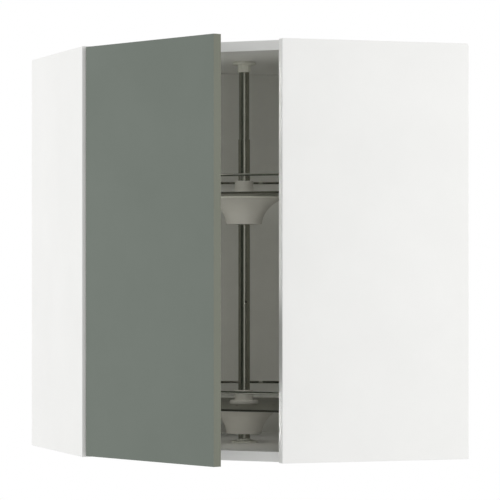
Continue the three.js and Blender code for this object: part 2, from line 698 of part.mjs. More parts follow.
/** The spool: a flange and collar on the board, and a sleeve down to the carrying washer. */
function spool(sleeveBottom, boardTop) {
  const bore = LOWER_TUBE_RADIUS + TURNING_PLAY;
  return turned([
    [bore, sleeveBottom],
    [SPOOL_SLEEVE_RADIUS, sleeveBottom],
    [SPOOL_SLEEVE_RADIUS, boardTop],
    [SPOOL_FLANGE_RADIUS, boardTop],
    [SPOOL_FLANGE_RADIUS, boardTop + SPOOL_FLANGE_HEIGHT],
    [SPOOL_RADIUS, boardTop + SPOOL_FLANGE_HEIGHT],
    [SPOOL_RADIUS, boardTop + SPOOL_HEIGHT],
    [bore, boardTop + SPOOL_HEIGHT],
    [bore, sleeveBottom],
  ]);
}

/** A rail post with its foot on the board, drawn along X, with Y outwards. */
function railPost(bottom, top) {
  const x = FOOT_WIDTH / 2;
  const y = FOOT_DEPTH / 2;
  const outline = [
    [-x, FOOT_CHAMFER - y],
    [FOOT_CHAMFER - x, -y],
    [x - FOOT_CHAMFER, -y],
    [x, FOOT_CHAMFER - y],
    [x, y],
    [-x, y],
  ];
  const column = rod(1, bottom, top, 16).scale(POST_WIDTH / 2, POST_DEPTH / 2, 1);
  return join(slab(outline, bottom, bottom + FOOT_HEIGHT), column);
}

/** One shelf and the ring and washer that carry it on the post. */
function shelf(level, underside) {
  const group = new THREE.Group();
  const boardTop = underside + SHELF_BOARD;
  const hubBottom = underside - HUB_HEIGHT;
  const clampBottom = hubBottom + CLAMP_LIFT;
  const washerBottom = clampBottom + CLAMP_HEIGHT;
  const washerTop = washerBottom + WASHER_HEIGHT;
  const bore = LOWER_TUBE_RADIUS + TURNING_PLAY;

  const clampBore = LOWER_TUBE_RADIUS + GROOVE_PLAY;
  const clamp = ring(clampBore, CLAMP_RADIUS, clampBottom, washerBottom);
  piece(group, `${level}_shelf_clamp`, clamp, zincSteel);
  const washer = ring(bore, CLAMP_RADIUS, washerBottom, washerTop);
  piece(group, `${level}_shelf_washer`, washer, clearRubber);

  const spoolHole = rod(SPOOL_SLEEVE_RADIUS + GROOVE_PLAY, underside - 1, boardTop + 1, FINE);
  const board = cut(slab(shelfOutline(0), underside, boardTop), spoolHole);
  piece(group, `${level}_shelf_board`, board, shelfBrown);
  piece(group, `${level}_shelf_hub`, hub(hubBottom), warmGrey);
  piece(group, `${level}_shelf_spool`, spool(washerTop, boardTop), warmGrey);

  const railMiddle = boardTop + RAIL_HEIGHT;
  const rail = wireLoop(shelfOutline(RAIL_INSET), RAIL_RADIUS, railMiddle);
  piece(group, `${level}_shelf_rail`, rail, chrome);
  const roundEnd = Math.asin((SHELF_FLAT - SHELF_CORNER) / (SHELF_RADIUS - SHELF_CORNER));
  const lastPost = 90 + THREE.MathUtils.radToDeg(roundEnd) - POST_FROM_CORNER;
  for (let i = 0; i < POSTS_PER_SHELF; i++) {
    const turn = lastPost * ((2 * i) / (POSTS_PER_SHELF - 1) - 1);
    const post = railPost(boardTop, railMiddle - RAIL_RADIUS - POST_PLAY);
    post.translate(0, SHELF_RADIUS - RAIL_INSET, 0).rotateZ(THREE.MathUtils.degToRad(turn));
    piece(group, `${level}_rail_post_${i + 1}`, post, warmGrey);
  }
  return group;
}

// ---- Assembly ------------------------------------------------------------------------------

const group = new THREE.Group();

const carcass = new THREE.Group();
carcass.add(wing("left"), wing("right"));
const bottomPanel = levelPanel(0, BOARD, BOARD - GROOVE_DEPTH, BOARD + 1);
piece(carcass, "bottom_panel", bottomPanel, whiteFoil);
const topPanel = levelPanel(UNDER_TOP, HEIGHT, UNDER_TOP - 1, UNDER_TOP + GROOVE_DEPTH);
piece(carcass, "top_panel", topPanel, whiteFoil);
piece(carcass, "back_corner_post", cornerPost(), whiteFoil);
carcass.add(hingeSeats());
group.add(carcass);

// The front group's X axis runs along the diagonal front, and its Y axis into the cabinet.
const front = new THREE.Group();
front.position.set(FRONT_MIDDLE, FRONT_MIDDLE, 0);
front.rotation.z = -Math.PI / 4;
front.add(door(), hingeLinks());
group.add(front);

group.add(post());

// The shelves stand with their straight fronts along the diagonal, so that the door can shut.
const shelves = new THREE.Group();
shelves.rotation.z = -Math.PI / 4;
for (const [level, underside] of Object.entries(SHELF_HEIGHTS)) {
  shelves.add(shelf(level, underside));
}
group.add(shelves);

export default group;
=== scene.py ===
"""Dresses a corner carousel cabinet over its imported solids, and sets a pale studio round it."""

from __future__ import annotations

import logging
import math
from collections.abc import Callable, Iterator, Sequence
from contextlib import contextmanager
from dataclasses import dataclass, field
from enum import Enum
from functools import cache

import bpy
from mathutils import Euler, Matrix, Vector


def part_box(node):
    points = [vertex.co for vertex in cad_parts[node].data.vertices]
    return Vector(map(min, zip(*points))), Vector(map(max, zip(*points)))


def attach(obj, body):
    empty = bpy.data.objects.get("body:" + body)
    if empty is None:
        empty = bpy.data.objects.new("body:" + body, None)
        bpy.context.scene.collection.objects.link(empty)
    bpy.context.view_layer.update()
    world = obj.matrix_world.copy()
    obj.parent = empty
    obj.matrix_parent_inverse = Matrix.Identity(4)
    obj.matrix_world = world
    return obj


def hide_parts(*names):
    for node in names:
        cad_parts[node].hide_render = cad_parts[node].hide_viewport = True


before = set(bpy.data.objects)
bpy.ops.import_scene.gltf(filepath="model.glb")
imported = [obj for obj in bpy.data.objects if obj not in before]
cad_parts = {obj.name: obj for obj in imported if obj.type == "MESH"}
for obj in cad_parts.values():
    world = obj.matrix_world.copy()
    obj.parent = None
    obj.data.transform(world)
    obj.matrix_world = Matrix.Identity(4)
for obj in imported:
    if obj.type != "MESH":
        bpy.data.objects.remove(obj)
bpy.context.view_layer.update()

LOG = logging.getLogger("cabinet")
MM = 0.001
AJAR = 24.5  # degrees by which the door stands open
PANEL_TURN = math.radians(-45)  # the diagonal front and the shelves' straight fronts
DOOR_TURN = math.radians(-45 - AJAR)
SHARP = 32  # degrees between two faces from which their edge is sharp

Thing = bpy.types.Object
Material = bpy.types.Material
Socket = bpy.types.NodeSocket
Colour = tuple[float, float, float]
Corner = tuple[float, ...]  # its two places in millimetres, and the radius that rounds it if any
FaceTest = Callable[[Vector, Vector], bool]


class Level(Enum):
    """The two heights at which hinges and shelves come."""

    LOWER = "lower"
    UPPER = "upper"


class Side(Enum):
    """The two walls of the corner, seen from the front."""

    LEFT = "left"
    RIGHT = "right"


# ---- Work on meshes ------------------------------------------------------------------------


def lone(thing: Thing) -> None:
    """Makes a thing the only one selected, and the active one.

    Args:
        thing: The thing.
    """
    bpy.ops.object.select_all(action="DESELECT")
    thing.select_set(True)
    bpy.context.view_layer.objects.active = thing


@contextmanager
def editing(thing: Thing, element: str = "VERT") -> Iterator[None]:
    """Opens a thing in edit mode and closes it again.

    Args:
        thing: What to edit.
        element: VERT, EDGE or FACE, what is selected.

    Yields:
        Nothing, while the thing is open.
    """
    lone(thing)
    bpy.ops.object.mode_set(mode="EDIT")
    bpy.ops.mesh.select_mode(type=element)
    yield
    bpy.ops.object.mode_set(mode="OBJECT")


def pick(thing: Thing, test: FaceTest) -> None:
    """Selects faces of a closed mesh by their place or direction, and nothing else.

    Args:
        thing: A thing in object mode.
        test: Takes a face's middle and its normal, and says whether it is selected.
    """
    mesh = thing.data
    for part in (mesh.vertices, mesh.edges, mesh.polygons):
        part.foreach_set("select", [False] * len(part))
    for face in mesh.polygons:
        face.select = test(face.center, face.normal)


def settle(thing: Thing) -> None:
    """Puts a thing's place, turn and scale into its mesh."""
    lone(thing)
    bpy.ops.object.transform_apply(location=True, rotation=True, scale=True)


def added(shape: Callable[..., set[str]], place: Sequence[float], **settings: object) -> Thing:
    """Adds one of Blender's basic shapes, to be worked on.

    Args:
        shape: Blender's command for it.
        place: Its middle, in millimetres.
        **settings: What the command takes beside, in metres and radians.

    Returns:
        The shape, with its place, turn and scale in its mesh.
    """
    bpy.ops.object.select_all(action="DESELECT")
    shape(location=[value * MM for value in place], **settings)
    thing = bpy.context.object
    settle(thing)
    return thing


def copied(thing: Thing, name: str) -> Thing:
    """Copies a thing with a mesh of its own.

    Args:
        thing: What to copy.
        name: The copy's name.

    Returns:
        The copy.
    """
    lone(thing)
    bpy.ops.object.duplicate(linked=False)
    twin = bpy.context.object
    twin.name = name
    return twin


def swung(thing: Thing, turn: float) -> Thing:
    """Turns a thing about the vertical through the origin.

    Args:
        thing: What to turn.
        turn: Radians, seen from above and against the clock.

    Returns:
        The same thing.
    """
    thing.rotation_euler = (0, 0, turn)
    settle(thing)
    return thing


def facing(thing: Thing, name: str, place: Sequence[float], way: Sequence[float]) -> Thing:
    """Copies a thing that stands up at the origin, and sets the copy on a surface.

    Args:
        thing: What to copy. It stands on the origin, along +Z.
        name: The copy's name.
        place: Where it is set, in millimetres.
        way: Direction that the surface faces.

    Returns:
        The copy.
    """
    twin = copied(thing, name)
    twin.rotation_euler = Vector(way).to_track_quat("Z", "Y").to_euler()
    twin.location = Vector(place) * MM
    settle(twin)
    return twin


def modify(thing: Thing, kind: str, **settings: object) -> None:
    """Adds a modifier and applies it.

    Args:
        thing: The thing that is changed.
        kind: The modifier's type.
        **settings: Its properties.
    """
    lone(thing)
    modifier = thing.modifiers.new(kind.title(), kind)
    for key, value in settings.items():
        setattr(modifier, key, value)
    bpy.ops.object.modifier_apply(modifier=modifier.name)


def rounded(thing: Thing, width: float, segments: int = 3, slot: int = -1) -> None:
    """Rounds every sharp edge.

    Args:
        thing: The thing that is rounded.
        width: Millimetres that the rounding takes from each side of an edge.
        segments: Faces across the rounding.
        slot: Material slot of the rounding, or -1 for that of its neighbours.
    """
    modify(
        thing,
        "BEVEL",
        width=width * MM,
        segments=segments,
        limit_method="ANGLE",
        angle_limit=math.radians(SHARP),
        use_clamp_overlap=True,
        material=slot,
        harden_normals=False,
    )


def shaded(thing: Thing, angle: float = SHARP) -> None:
    """Shades a thing smoothly, with flat faces kept flat.

    Args:
        thing: The thing.
        angle: Degrees between two faces up to which their edge is smooth.
    """
    lone(thing)
    bpy.ops.object.shade_smooth_by_angle(angle=math.radians(angle))
    modify(thing, "WEIGHTED_NORMAL", keep_sharp=True, weight=80)


def sealed(thing: Thing) -> None:
    """Merges the doubled points of a mesh and turns its faces outwards.

    Args:
        thing: The thing with the mesh.
    """
    with editing(thing):
        bpy.ops.mesh.select_all(action="SELECT")
        bpy.ops.mesh.remove_doubles(threshold=0.002 * MM)
        bpy.ops.mesh.normals_make_consistent(inside=False)


def joined(thing: Thing, *others: Thing, carve: bool = False) -> None:
    """Joins others into a thing, or carves them out of it, and removes them.

    Args:
        thing: The thing that stays.
        *others: What is joined to it or carved out.
        carve: True to carve.
    """
    for other in others:
        operation = "DIFFERENCE" if carve else "UNION"
        modify(thing, "BOOLEAN", operation=operation, object=other, solver="EXACT")
        bpy.data.objects.remove(other)


def traced(name: str, path: Sequence[Corner], way: Sequence[float] = (1, 0)) -> Thing:
    """Draws a profile as a chain of edges, out of one point.

    Args:
        name: The thing's name.
        path: Distance from the axis and height of each point, in millimetres.
        way: Direction from the axis in which the profile stands, seen from above.

    Returns:
        The chain.
    """
    reach, height = path[0]
    place = (way[0] * reach, way[1] * reach, height)
    thing = added(bpy.ops.mesh.primitive_plane_add, place, size=MM)
    thing.name = name
    with editing(thing):
        bpy.ops.mesh.select_all(action="SELECT")
        bpy.ops.mesh.merge(type="CENTER")
        for here, there in zip(path, path[1:]):
            out = (there[0] - here[0]) * MM
            step = (way[0] * out, way[1] * out, (there[1] - here[1]) * MM)
            bpy.ops.mesh.extrude_region_move(TRANSFORM_OT_translate={"value": step})
    return thing


def turned(name: str, profile: Sequence[Corner], steps: int = 96) -> Thing:
    """Turns a profile about the vertical through the origin into a closed body.

    Args:
        name: The thing's name.
        profile: Radius and height of each point in millimetres. Unless it starts and ends on
            the axis, it is closed on itself.
        steps: Faces round the body.

    Returns:
        The body.
    """
    on_axis = profile[0][0] == 0 and profile[-1][0] == 0
    thing = traced(name, profile if on_axis else [*profile, profile[0]])
    with editing(thing):
        bpy.ops.mesh.select_all(action="SELECT")
        bpy.ops.mesh.spin(steps=steps, angle=math.tau, center=(0, 0, 0), axis=(0, 0, 1))
    sealed(thing)
    return thing


def eased(corners: Sequence[Corner], steps: int = 5) -> list[Corner]:
    """Rounds the corners of a profile.

    Args:
        corners: Radius and height of each corner, and the radius of its rounding if it has one.
        steps: Straight pieces in each rounding.

    Returns:
        The points of the rounded profile.
    """
    points: list[Corner] = []
    for i, corner in enumerate(corners):
        here = Vector(corner[:2])
        if len(corner) == 2:
            points.append(tuple(here))
            continue
        back = (Vector(corners[i - 1][:2]) - here).normalized()
        ahead = (Vector(corners[(i + 1) % len(corners)][:2]) - here).normalized()
        half = back.angle(ahead) / 2
        reach = corner[2] / math.tan(half)
        middle = here + (back + ahead).normalized() * (corner[2] / math.sin(half))
        start = here + back * reach - middle
        end = here + ahead * reach - middle
        sweep = start.angle_signed(end)
        for step in range(steps + 1):
            turn = -sweep * step / steps
            cos, sin = math.cos(turn), math.sin(turn)
            points.append(
                (middle.x + cos * start.x - sin * start.y, middle.y + sin * start.x + cos * start.y)
            )
    return points


def ring(reach: float, count: int, height: float, start: float = 0) -> list[Corner]:
    """Finds places evenly round the vertical through the origin.

    Args:
        reach: Distance of each from it, in millimetres.
        count: How many.
        height: Height of them all, in millimetres.
        start: Degrees to the first.

    Returns:
        The places.
    """
    turns = [math.radians(start) + math.tau * i / count for i in range(count)]
    return [(reach * math.cos(turn), reach * math.sin(turn), height) for turn in turns]


def painted(thing: Thing, finishes: Sequence[Finish], second: FaceTest | None = None) -> None:
    """Gives a thing its finishes.

    Args:
        thing: A thing in object mode.
        finishes: The finishes. The second is for faces that pass the test.
        second: Takes a face's middle and its normal, and says whether it passes.
    """
    for finish in finishes:
        thing.data.materials.append(finish.material())
    if second:
        pick(thing, second)
        for face in thing.data.polygons:
            face.material_index = int(face.select)


# ---- Finishes ------------------------------------------------------------------------------


def tone(red: int, green: int, blue: int) -> Colour:
    """Works out the linear colour of a tone.

    Args:
        red: Its red, from 0 to 255.
        green: Its green.
        blue: Its blue.

    Returns:
        The colour.
    """

    def channel(value: int) -> float:
        """Makes one of its channels linear."""
        part = value / 255
        return part / 12.92 if part <= 0.04045 else ((part + 0.055) / 1.055) ** 2.4

    return channel(red), channel(green), channel(blue)


class SharedNodes:
    """The node groups that several finishes use. Each is made once."""

    @staticmethod
    def _new(name: str, inputs: dict[str, object], output: tuple[str, str]) -> tuple:
        """Makes an empty group.

        Args:
            name: The group's name.
            inputs: Each input's name, and its usual value, or nothing for a vector.
            output: Name and type of the output.

        Returns:
            The group, its input node and the socket that it puts out.
        """
        group = bpy.data.node_groups.new(name, "ShaderNodeTree")
        kinds = {float: "NodeSocketFloat", tuple: "NodeSocketColor"}
        for label, value in inputs.items():
            kind = kinds.get(type(value), "NodeSocketVector")
            socket = group.interface.new_socket(label, in_out="INPUT", socket_type=kind)
            if value is not None:
                socket.default_value = value
        group.interface.new_socket(output[0], in_out="OUTPUT", socket_type=output[1])
        given = group.nodes.new("NodeGroupInput")
        return group, given, group.nodes.new("NodeGroupOutput").inputs[output[0]]

    @staticmethod
    def _texture(
        group: bpy.types.NodeTree, given: bpy.types.Node, kind: str = "ShaderNodeTexNoise",
        **settings: float,
    ) -> bpy.types.Node:
        """Adds a texture that reads the group's place and scale.

        Args:
            group: The group.
            given: Its input node.
            kind: The texture's type.
            **settings: Values of its other inputs.

        Returns:
            The texture's node.
        """
        texture = group.nodes.new(kind)
        for label in ("Vector", "Scale"):
            group.links.new(given.outputs[label], texture.inputs[label])
        for label, value in settings.items():
            texture.inputs[label].default_value = value
        return texture

    @staticmethod
    def _spread(group: bpy.types.NodeTree, noise: bpy.types.Node) -> bpy.types.Node:
        """Stretches the usual range of a noise, so that it reaches both ends.

        Args:
            group: The group.
            noise: The noise's node.

        Returns:
            The node that stretches it, from 0 to 1 unless it is told otherwise.
        """
        spread = group.nodes.new("ShaderNodeMapRange")
        spread.inputs["From Min"].default_value = 0.3
        spread.inputs["From Max"].default_value = 0.7
        group.links.new(noise.outputs["Fac"], spread.inputs["Value"])
        return spread

    @classmethod
    @cache
    def grain(cls) -> bpy.types.NodeTree:
        """Makes a fine pressed or moulded grain, as a height from 0 to 1.

        Returns:
            The group.
        """
        group, given, put = cls._new(
            "fine_grain", {"Vector": None, "Scale": 1800.0}, ("Height", "NodeSocketFloat")
        )
        coarse = cls._texture(group, given, Detail=3)
        fine = cls._texture(group, given, "ShaderNodeTexVoronoi")
        fine.feature = "SMOOTH_F1"
        blend = group.nodes.new("ShaderNodeMix")
        blend.inputs[0].default_value = 0.35
        group.links.new(coarse.outputs["Fac"], blend.inputs[2])
        group.links.new(fine.outputs["Distance"], blend.inputs[3])
        group.links.new(blend.outputs[0], put)
        return group

    @classmethod
    @cache
    def mottle(cls) -> bpy.types.NodeTree:
        """Makes a slow drift between two colours, with a finer one inside it.

        Returns:
            The group.
        """
        dark, light = (0.2, 0.2, 0.2, 1.0), (0.3, 0.3, 0.3, 1.0)
        inputs = {"Vector": None, "Scale": 6.0, "Dark": dark, "Light": light}
        group, given, put = cls._new("tone_mottle", inputs, ("Color", "NodeSocketColor"))
        spread = cls._spread(group, cls._texture(group, given, Detail=5, Roughness=0.6))
        blend = group.nodes.new("ShaderNodeMix")
        blend.data_type = "RGBA"
        group.links.new(spread.outputs["Result"], blend.inputs[0])
        group.links.new(given.outputs["Dark"], blend.inputs[6])
        group.links.new(given.outputs["Light"], blend.inputs[7])
        group.links.new(blend.outputs[2], put)
        return group

    @classmethod
    @cache
    def wiping(cls) -> bpy.types.NodeTree:
        """Makes the roughness of a handled or wiped surface, in long soft streaks.

        Returns:
            The group.
        """
        inputs = {"Vector": None, "Scale": 9.0, "Glossy": 0.3, "Dull": 0.4}
        group, given, put = cls._new("wiped_gloss", inputs, ("Roughness", "NodeSocketFloat"))
        spread = cls._spread(group, cls._texture(group, given, Detail=4, Distortion=0.8))
        group.links.new(given.outputs["Glossy"], spread.inputs["To Min"])
        group.links.new(given.outputs["Dull"], spread.inputs["To Max"])
        group.links.new(spread.outputs["Result"], put)
        return group


@dataclass(frozen=True)
class Finish:
    """A finish: its colours, its gloss and its grain, all read in object coordinates.

    Attributes:
        name: The material's name.
        dark: The darker of its two tones.
        light: The lighter of its two tones.
        gloss: Least and greatest roughness.
        drift: Scale of the drift in tone and gloss.
        stretch: How the drift is squeezed along X, Y and Z.
        grain_scale: Scale of the grain.
        grain_depth: Depth of the grain in millimetres.
        specular: Specular level.
        metallic: 1 for a metal.
        coat: Weight of a clear coat.
        clear: Transmission weight.
        sheen: Anisotropy of a drawn or brushed metal.
    """

    STREAKS = 1.7  # how much finer the drift in gloss is than the drift in tone

    name: str
    dark: Colour
    light: Colour
    gloss: tuple[float, float] = (0.4, 0.5)
    drift: float = 6.0
    stretch: tuple[float, float, float] = (1, 1, 1)
    grain_scale: float = 1800.0
    grain_depth: float = 0.01
    specular: float = 0.5
    metallic: float = 0.0
    coat: float = 0.0
    clear: float = 0.0
    sheen: float = 0.0

    def _group(self, material: Material, tree: bpy.types.NodeTree, **values: object) -> bpy.types.Node:
        """Places a shared node group in the material.

        Args:
            material: The material.
            tree: The group.
            **values: Its inputs, each a value or a socket that feeds it.

        Returns:
            The group's node.
        """
        node = material.node_tree.nodes.new("ShaderNodeGroup")
        node.node_tree = tree
        for label, value in values.items():
            if isinstance(value, Socket):
                material.node_tree.links.new(value, node.inputs[label])
            else:
                node.inputs[label].default_value = value
        return node

    def material(self) -> Material:
        """Finds the finish's material, which is made the first time that it is asked for.

        Returns:
            The material.
        """
        if self.name in bpy.data.materials:
            return bpy.data.materials[self.name]
        material = bpy.data.materials.new(self.name)
        material.use_nodes = True
        nodes, links = material.node_tree.nodes, material.node_tree.links
        shader = nodes["Principled BSDF"]
        levels = {
            "Metallic": self.metallic,
            "Specular IOR Level": self.specular,
            "Coat Weight": self.coat,
            "Transmission Weight": self.clear,
            "Anisotropic": self.sheen,
        }
        for label, value in levels.items():
            shader.inputs[label].default_value = value
        place = nodes.new("ShaderNodeTexCoord").outputs["Object"]
        squeezed = nodes.new("ShaderNodeMapping")
        squeezed.inputs["Scale"].default_value = self.stretch
        links.new(place, squeezed.inputs["Vector"])
        colour = self._group(
            material,
            SharedNodes.mottle(),
            Vector=squeezed.outputs["Vector"],
            Scale=self.drift,
            Dark=(*self.dark, 1),
            Light=(*self.light, 1),
        )
        links.new(colour.outputs["Color"], shader.inputs["Base Color"])
        gloss = self._group(
            material,
            SharedNodes.wiping(),
            Vector=squeezed.outputs["Vector"],
            Scale=self.drift * self.STREAKS,
            Glossy=self.gloss[0],
            Dull=self.gloss[1],
        )
        links.new(gloss.outputs["Roughness"], shader.inputs["Roughness"])
        grain = self._group(material, SharedNodes.grain(), Vector=place, Scale=self.grain_scale)
        bump = nodes.new("ShaderNodeBump")
        bump.inputs["Distance"].default_value = self.grain_depth * MM
        links.new(grain.outputs["Height"], bump.inputs["Height"])
        links.new(bump.outputs["Normal"], shader.inputs["Normal"])
        return material


WHITE_FOIL = Finish(
    "white_foil", tone(240, 240, 238), tone(243, 243, 241), gloss=(0.42, 0.5), grain_depth=0.02,
    specular=0.35,
)
EDGE_BAND = Finish(
    "white_edge_band", tone(237, 237, 235), tone(240, 240, 238), gloss=(0.34, 0.42), drift=12,
    grain_depth=0.01, specular=0.4,
)
BACK_PAINT = Finish(
    "white_painted_fibreboard", tone(226, 226, 222), tone(232, 232, 228), gloss=(0.5, 0.62),
    drift=14, grain_scale=700, grain_depth=0.05, specular=0.3,
)
DOOR_FACE = Finish(
    "grey_green_foil", tone(110, 118, 110), tone(113, 121, 113), gloss=(0.5, 0.58),
    grain_scale=1500, grain_depth=0.02, specular=0.3,
)
DOOR_EDGE = Finish(
    "olive_edge_band", tone(113, 116, 104), tone(116, 119, 107), gloss=(0.5, 0.58),
    grain_scale=1500, grain_depth=0.02, specular=0.3,
)
# Finish of every rounding on the door leaf, far darker than the leaf: painted shade for the dark line
# along its edges.
DOOR_ROUNDING_SHADE = Finish(
    "door_rounding_painted_shade", tone(66, 70, 62), tone(71, 75, 67), gloss=(0.45, 0.55), specular=0.3
)
SHELF_FACE = Finish(
    "dark_shelf_sheet", tone(81, 81, 70), tone(84, 84, 73), gloss=(0.34, 0.38), drift=5,
    grain_scale=900, grain_depth=0.002,
)
SHELF_RIM = Finish(
    "dark_shelf_rim", tone(46, 45, 38), tone(52, 51, 44), gloss=(0.16, 0.24), drift=20,
    grain_depth=0.005, coat=0.3,
)
GREY_MOULDING = Finish(
    "warm_grey_moulding", tone(192, 190, 184), tone(197, 195, 189), gloss=(0.42, 0.52), drift=25,
    grain_scale=1600, grain_depth=0.02, specular=0.4,
)
PALE_MOULDING = Finish(
    "pale_grey_moulding", tone(212, 212, 203), tone(218, 218, 209), gloss=(0.36, 0.46), drift=40,
    grain_scale=2000, grain_depth=0.01, specular=0.4,
)
CHROME = Finish(
    "smoked_chrome", tone(144, 144, 134), tone(152, 152, 142), gloss=(0.22, 0.28), drift=30,
    stretch=(1, 1, 0.1), grain_scale=900, grain_depth=0.0005, metallic=1,
)
SMOKED_WIRE = Finish(
    "smoked_plated_wire", tone(150, 150, 141), tone(158, 158, 149), gloss=(0.08, 0.14), drift=30,
    grain_scale=900, grain_depth=0.0005, metallic=1,
)
NICKEL = Finish(
    "nickel_plated_steel", tone(196, 197, 198), tone(208, 209, 209), gloss=(0.22, 0.36), drift=60,
    stretch=(1, 1, 0.25), grain_scale=1400, grain_depth=0.004, metallic=1, sheen=0.3,
)
SCREW_ZINC = Finish(
    "zinc_plated_screws", tone(170, 172, 172), tone(190, 192, 190), gloss=(0.25, 0.4), drift=200,
    grain_scale=2500, grain_depth=0.004, metallic=1,
)
SCREW_BLACK = Finish(
    "blackened_screws", tone(52, 51, 46), tone(62, 61, 55), gloss=(0.32, 0.45), drift=200,
    grain_scale=2500, grain_depth=0.004, specular=0.5,
)
CLEAR_RUBBER = Finish(
    "clear_soft_rubber", tone(225, 225, 220), tone(233, 233, 229), gloss=(0.3, 0.4), drift=80,
    grain_scale=2200, grain_depth=0.005, clear=0.65,
)


# ---- Sub-assemblies ------------------------------------------------------------------------


@dataclass
class Assembly:
    """A sub-assembly, all of it on one body.

    Attributes:
        body: The body that it rides on.
    """

    body: str = "cabinet"

    def keep(
        self, thing: Thing, slot: str, *nodes: str, finishes: Sequence[Finish] = (), body: str = ""
    ) -> None:
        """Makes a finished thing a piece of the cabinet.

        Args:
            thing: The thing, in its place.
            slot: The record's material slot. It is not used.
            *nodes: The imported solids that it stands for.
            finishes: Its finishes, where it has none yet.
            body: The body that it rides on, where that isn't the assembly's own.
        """
        painted(thing, finishes)
        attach(thing, body or self.body)
        if nodes:
            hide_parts(*nodes)
        LOG.info("%s: %d faces, for %s", thing.name, len(thing.data.polygons), ", ".join(nodes))

    def dress(
        self, node: str, name: str, slot: str, width: float, *finishes: Finish, segments: int = 3,
        second: FaceTest | None = None, line: int = -1, body: str = "",
    ) -> None:
        """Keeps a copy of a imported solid, with its edges rounded.

        Args:
            node: The solid's name.
            name: The copy's name.
            slot: The record's material slot.
            width: Millimetres that the rounding takes from each side of an edge.
            *finishes: The copy's finishes. The second is for faces that pass the test.
            segments: Faces across the rounding.
            second: Takes a face's middle and its normal, and says whether it passes.
            line: Material slot of the rounding, or -1 for that of its neighbours.
            body: The body that it rides on, where that isn't the assembly's own.
        """
        thing = copied(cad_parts[node], name)
        thing.parent = None
        for key in [key for key in thing.keys() if key.startswith("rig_")]:
            del thing[key]
        with editing(thing):
            bpy.ops.mesh.select_all(action="SELECT")
            bpy.ops.mesh.remove_doubles(threshold=0.01 * MM)
            bpy.ops.mesh.dissolve_limited(angle_limit=math.radians(0.5))
        thing.data.materials.clear()
        painted(thing, finishes, second)
        rounded(thing, width, segments, line)
        shaded(thing)
        self.keep(thing, slot, node, body=body)

    def lathe(
        self, node: str, name: str, slot: str, finish: Finish, corners: Sequence[Corner],
        steps: int = 5, body: str = "",
    ) -> None:
        """Keeps a body that is turned from a profile with rounded corners.

        Args:
            node: The solid that it stands for.
            name: Its name.
            slot: The record's material slot.
            finish: Its finish.
            corners: The profile's corners, as eased() takes them.
            steps: Straight pieces in each rounding.
            body: The body that it rides on, where that isn't the assembly's own.
        """
        thing = turned(name, eased(corners, steps))
        shaded(thing)
        self.keep(thing, slot, node, finishes=[finish], body=body)


@dataclass
class Fastener:
    """A screw head or a fitting with a cross recess for the driver, modelled once and copied.

    Attributes:
        name: What it is called.
        radius: Radius of the head, in millimetres.
        height: Height of the head.
        crown: How much of the height is domed.
        recess: Length, width and depth of the cross.
        finish: Its finish.
        model: The one that the others are copied from, while there is one.
    """

    FLAT = 0.62  # share of the radius that stays flat on top
    BROW = 0.2  # share of the radius that rounds the edge of the flat
    SHOULDER = 0.45  # share of the crown that rounds the shoulder

    name: str
    radius: float
    height: float
    crown: float
    recess: tuple[float, float, float]
    finish: Finish = SCREW_ZINC
    model: Thing | None = field(init=False, default=None)

    def shape(self) -> Thing:
        """Turns the head and cuts its recess.

        Returns:
            The head, standing on the origin.
        """
        shoulder = self.height - self.crown
        corners = [
            (0, 0), (self.radius, 0),
            (self.radius, shoulder, min(shoulder, self.crown) * self.SHOULDER),
            (self.radius * self.FLAT, self.height, self.radius * self.BROW), (0, self.height),
        ]
        head = turned(f"{self.name}_model", eased(corners, 3), 32)
        length, width, depth = self.recess
        for turn in (0, math.pi / 2):
            arm = added(
                bpy.ops.mesh.primitive_cube_add, (0, 0, self.height), size=1, rotation=(0, 0, turn),
                scale=(length * MM, width * MM, 2 * depth * MM),
            )
            joined(head, arm, carve=True)
        sealed(head)
        shaded(head, 30)
        painted(head, [self.finish])
        return head

    def fix(
        self, keeper: Assembly, label: str, places: Sequence[Sequence[float]], way: Sequence[float],
        body: str = "",
    ) -> None:
        """Sets a copy on each place.

        Args:
            keeper: The assembly that keeps the copies.
            label: What they hold.
            places: Where each is set, in millimetres.
            way: Direction that they face.
            body: The body that they ride on, where that isn't the assembly's own.
        """
        if self.model is None:
            self.model = self.shape()
        for i, place in enumerate(places):
            twin = facing(self.model, f"{label}_{self.name}_{i + 1}", place, way)
            keeper.keep(twin, "zinc_steel", body=body)

    def put_away(self) -> None:
        """Removes the model that the copies were made from."""
        bpy.data.objects.remove(self.model)
        self.model = None


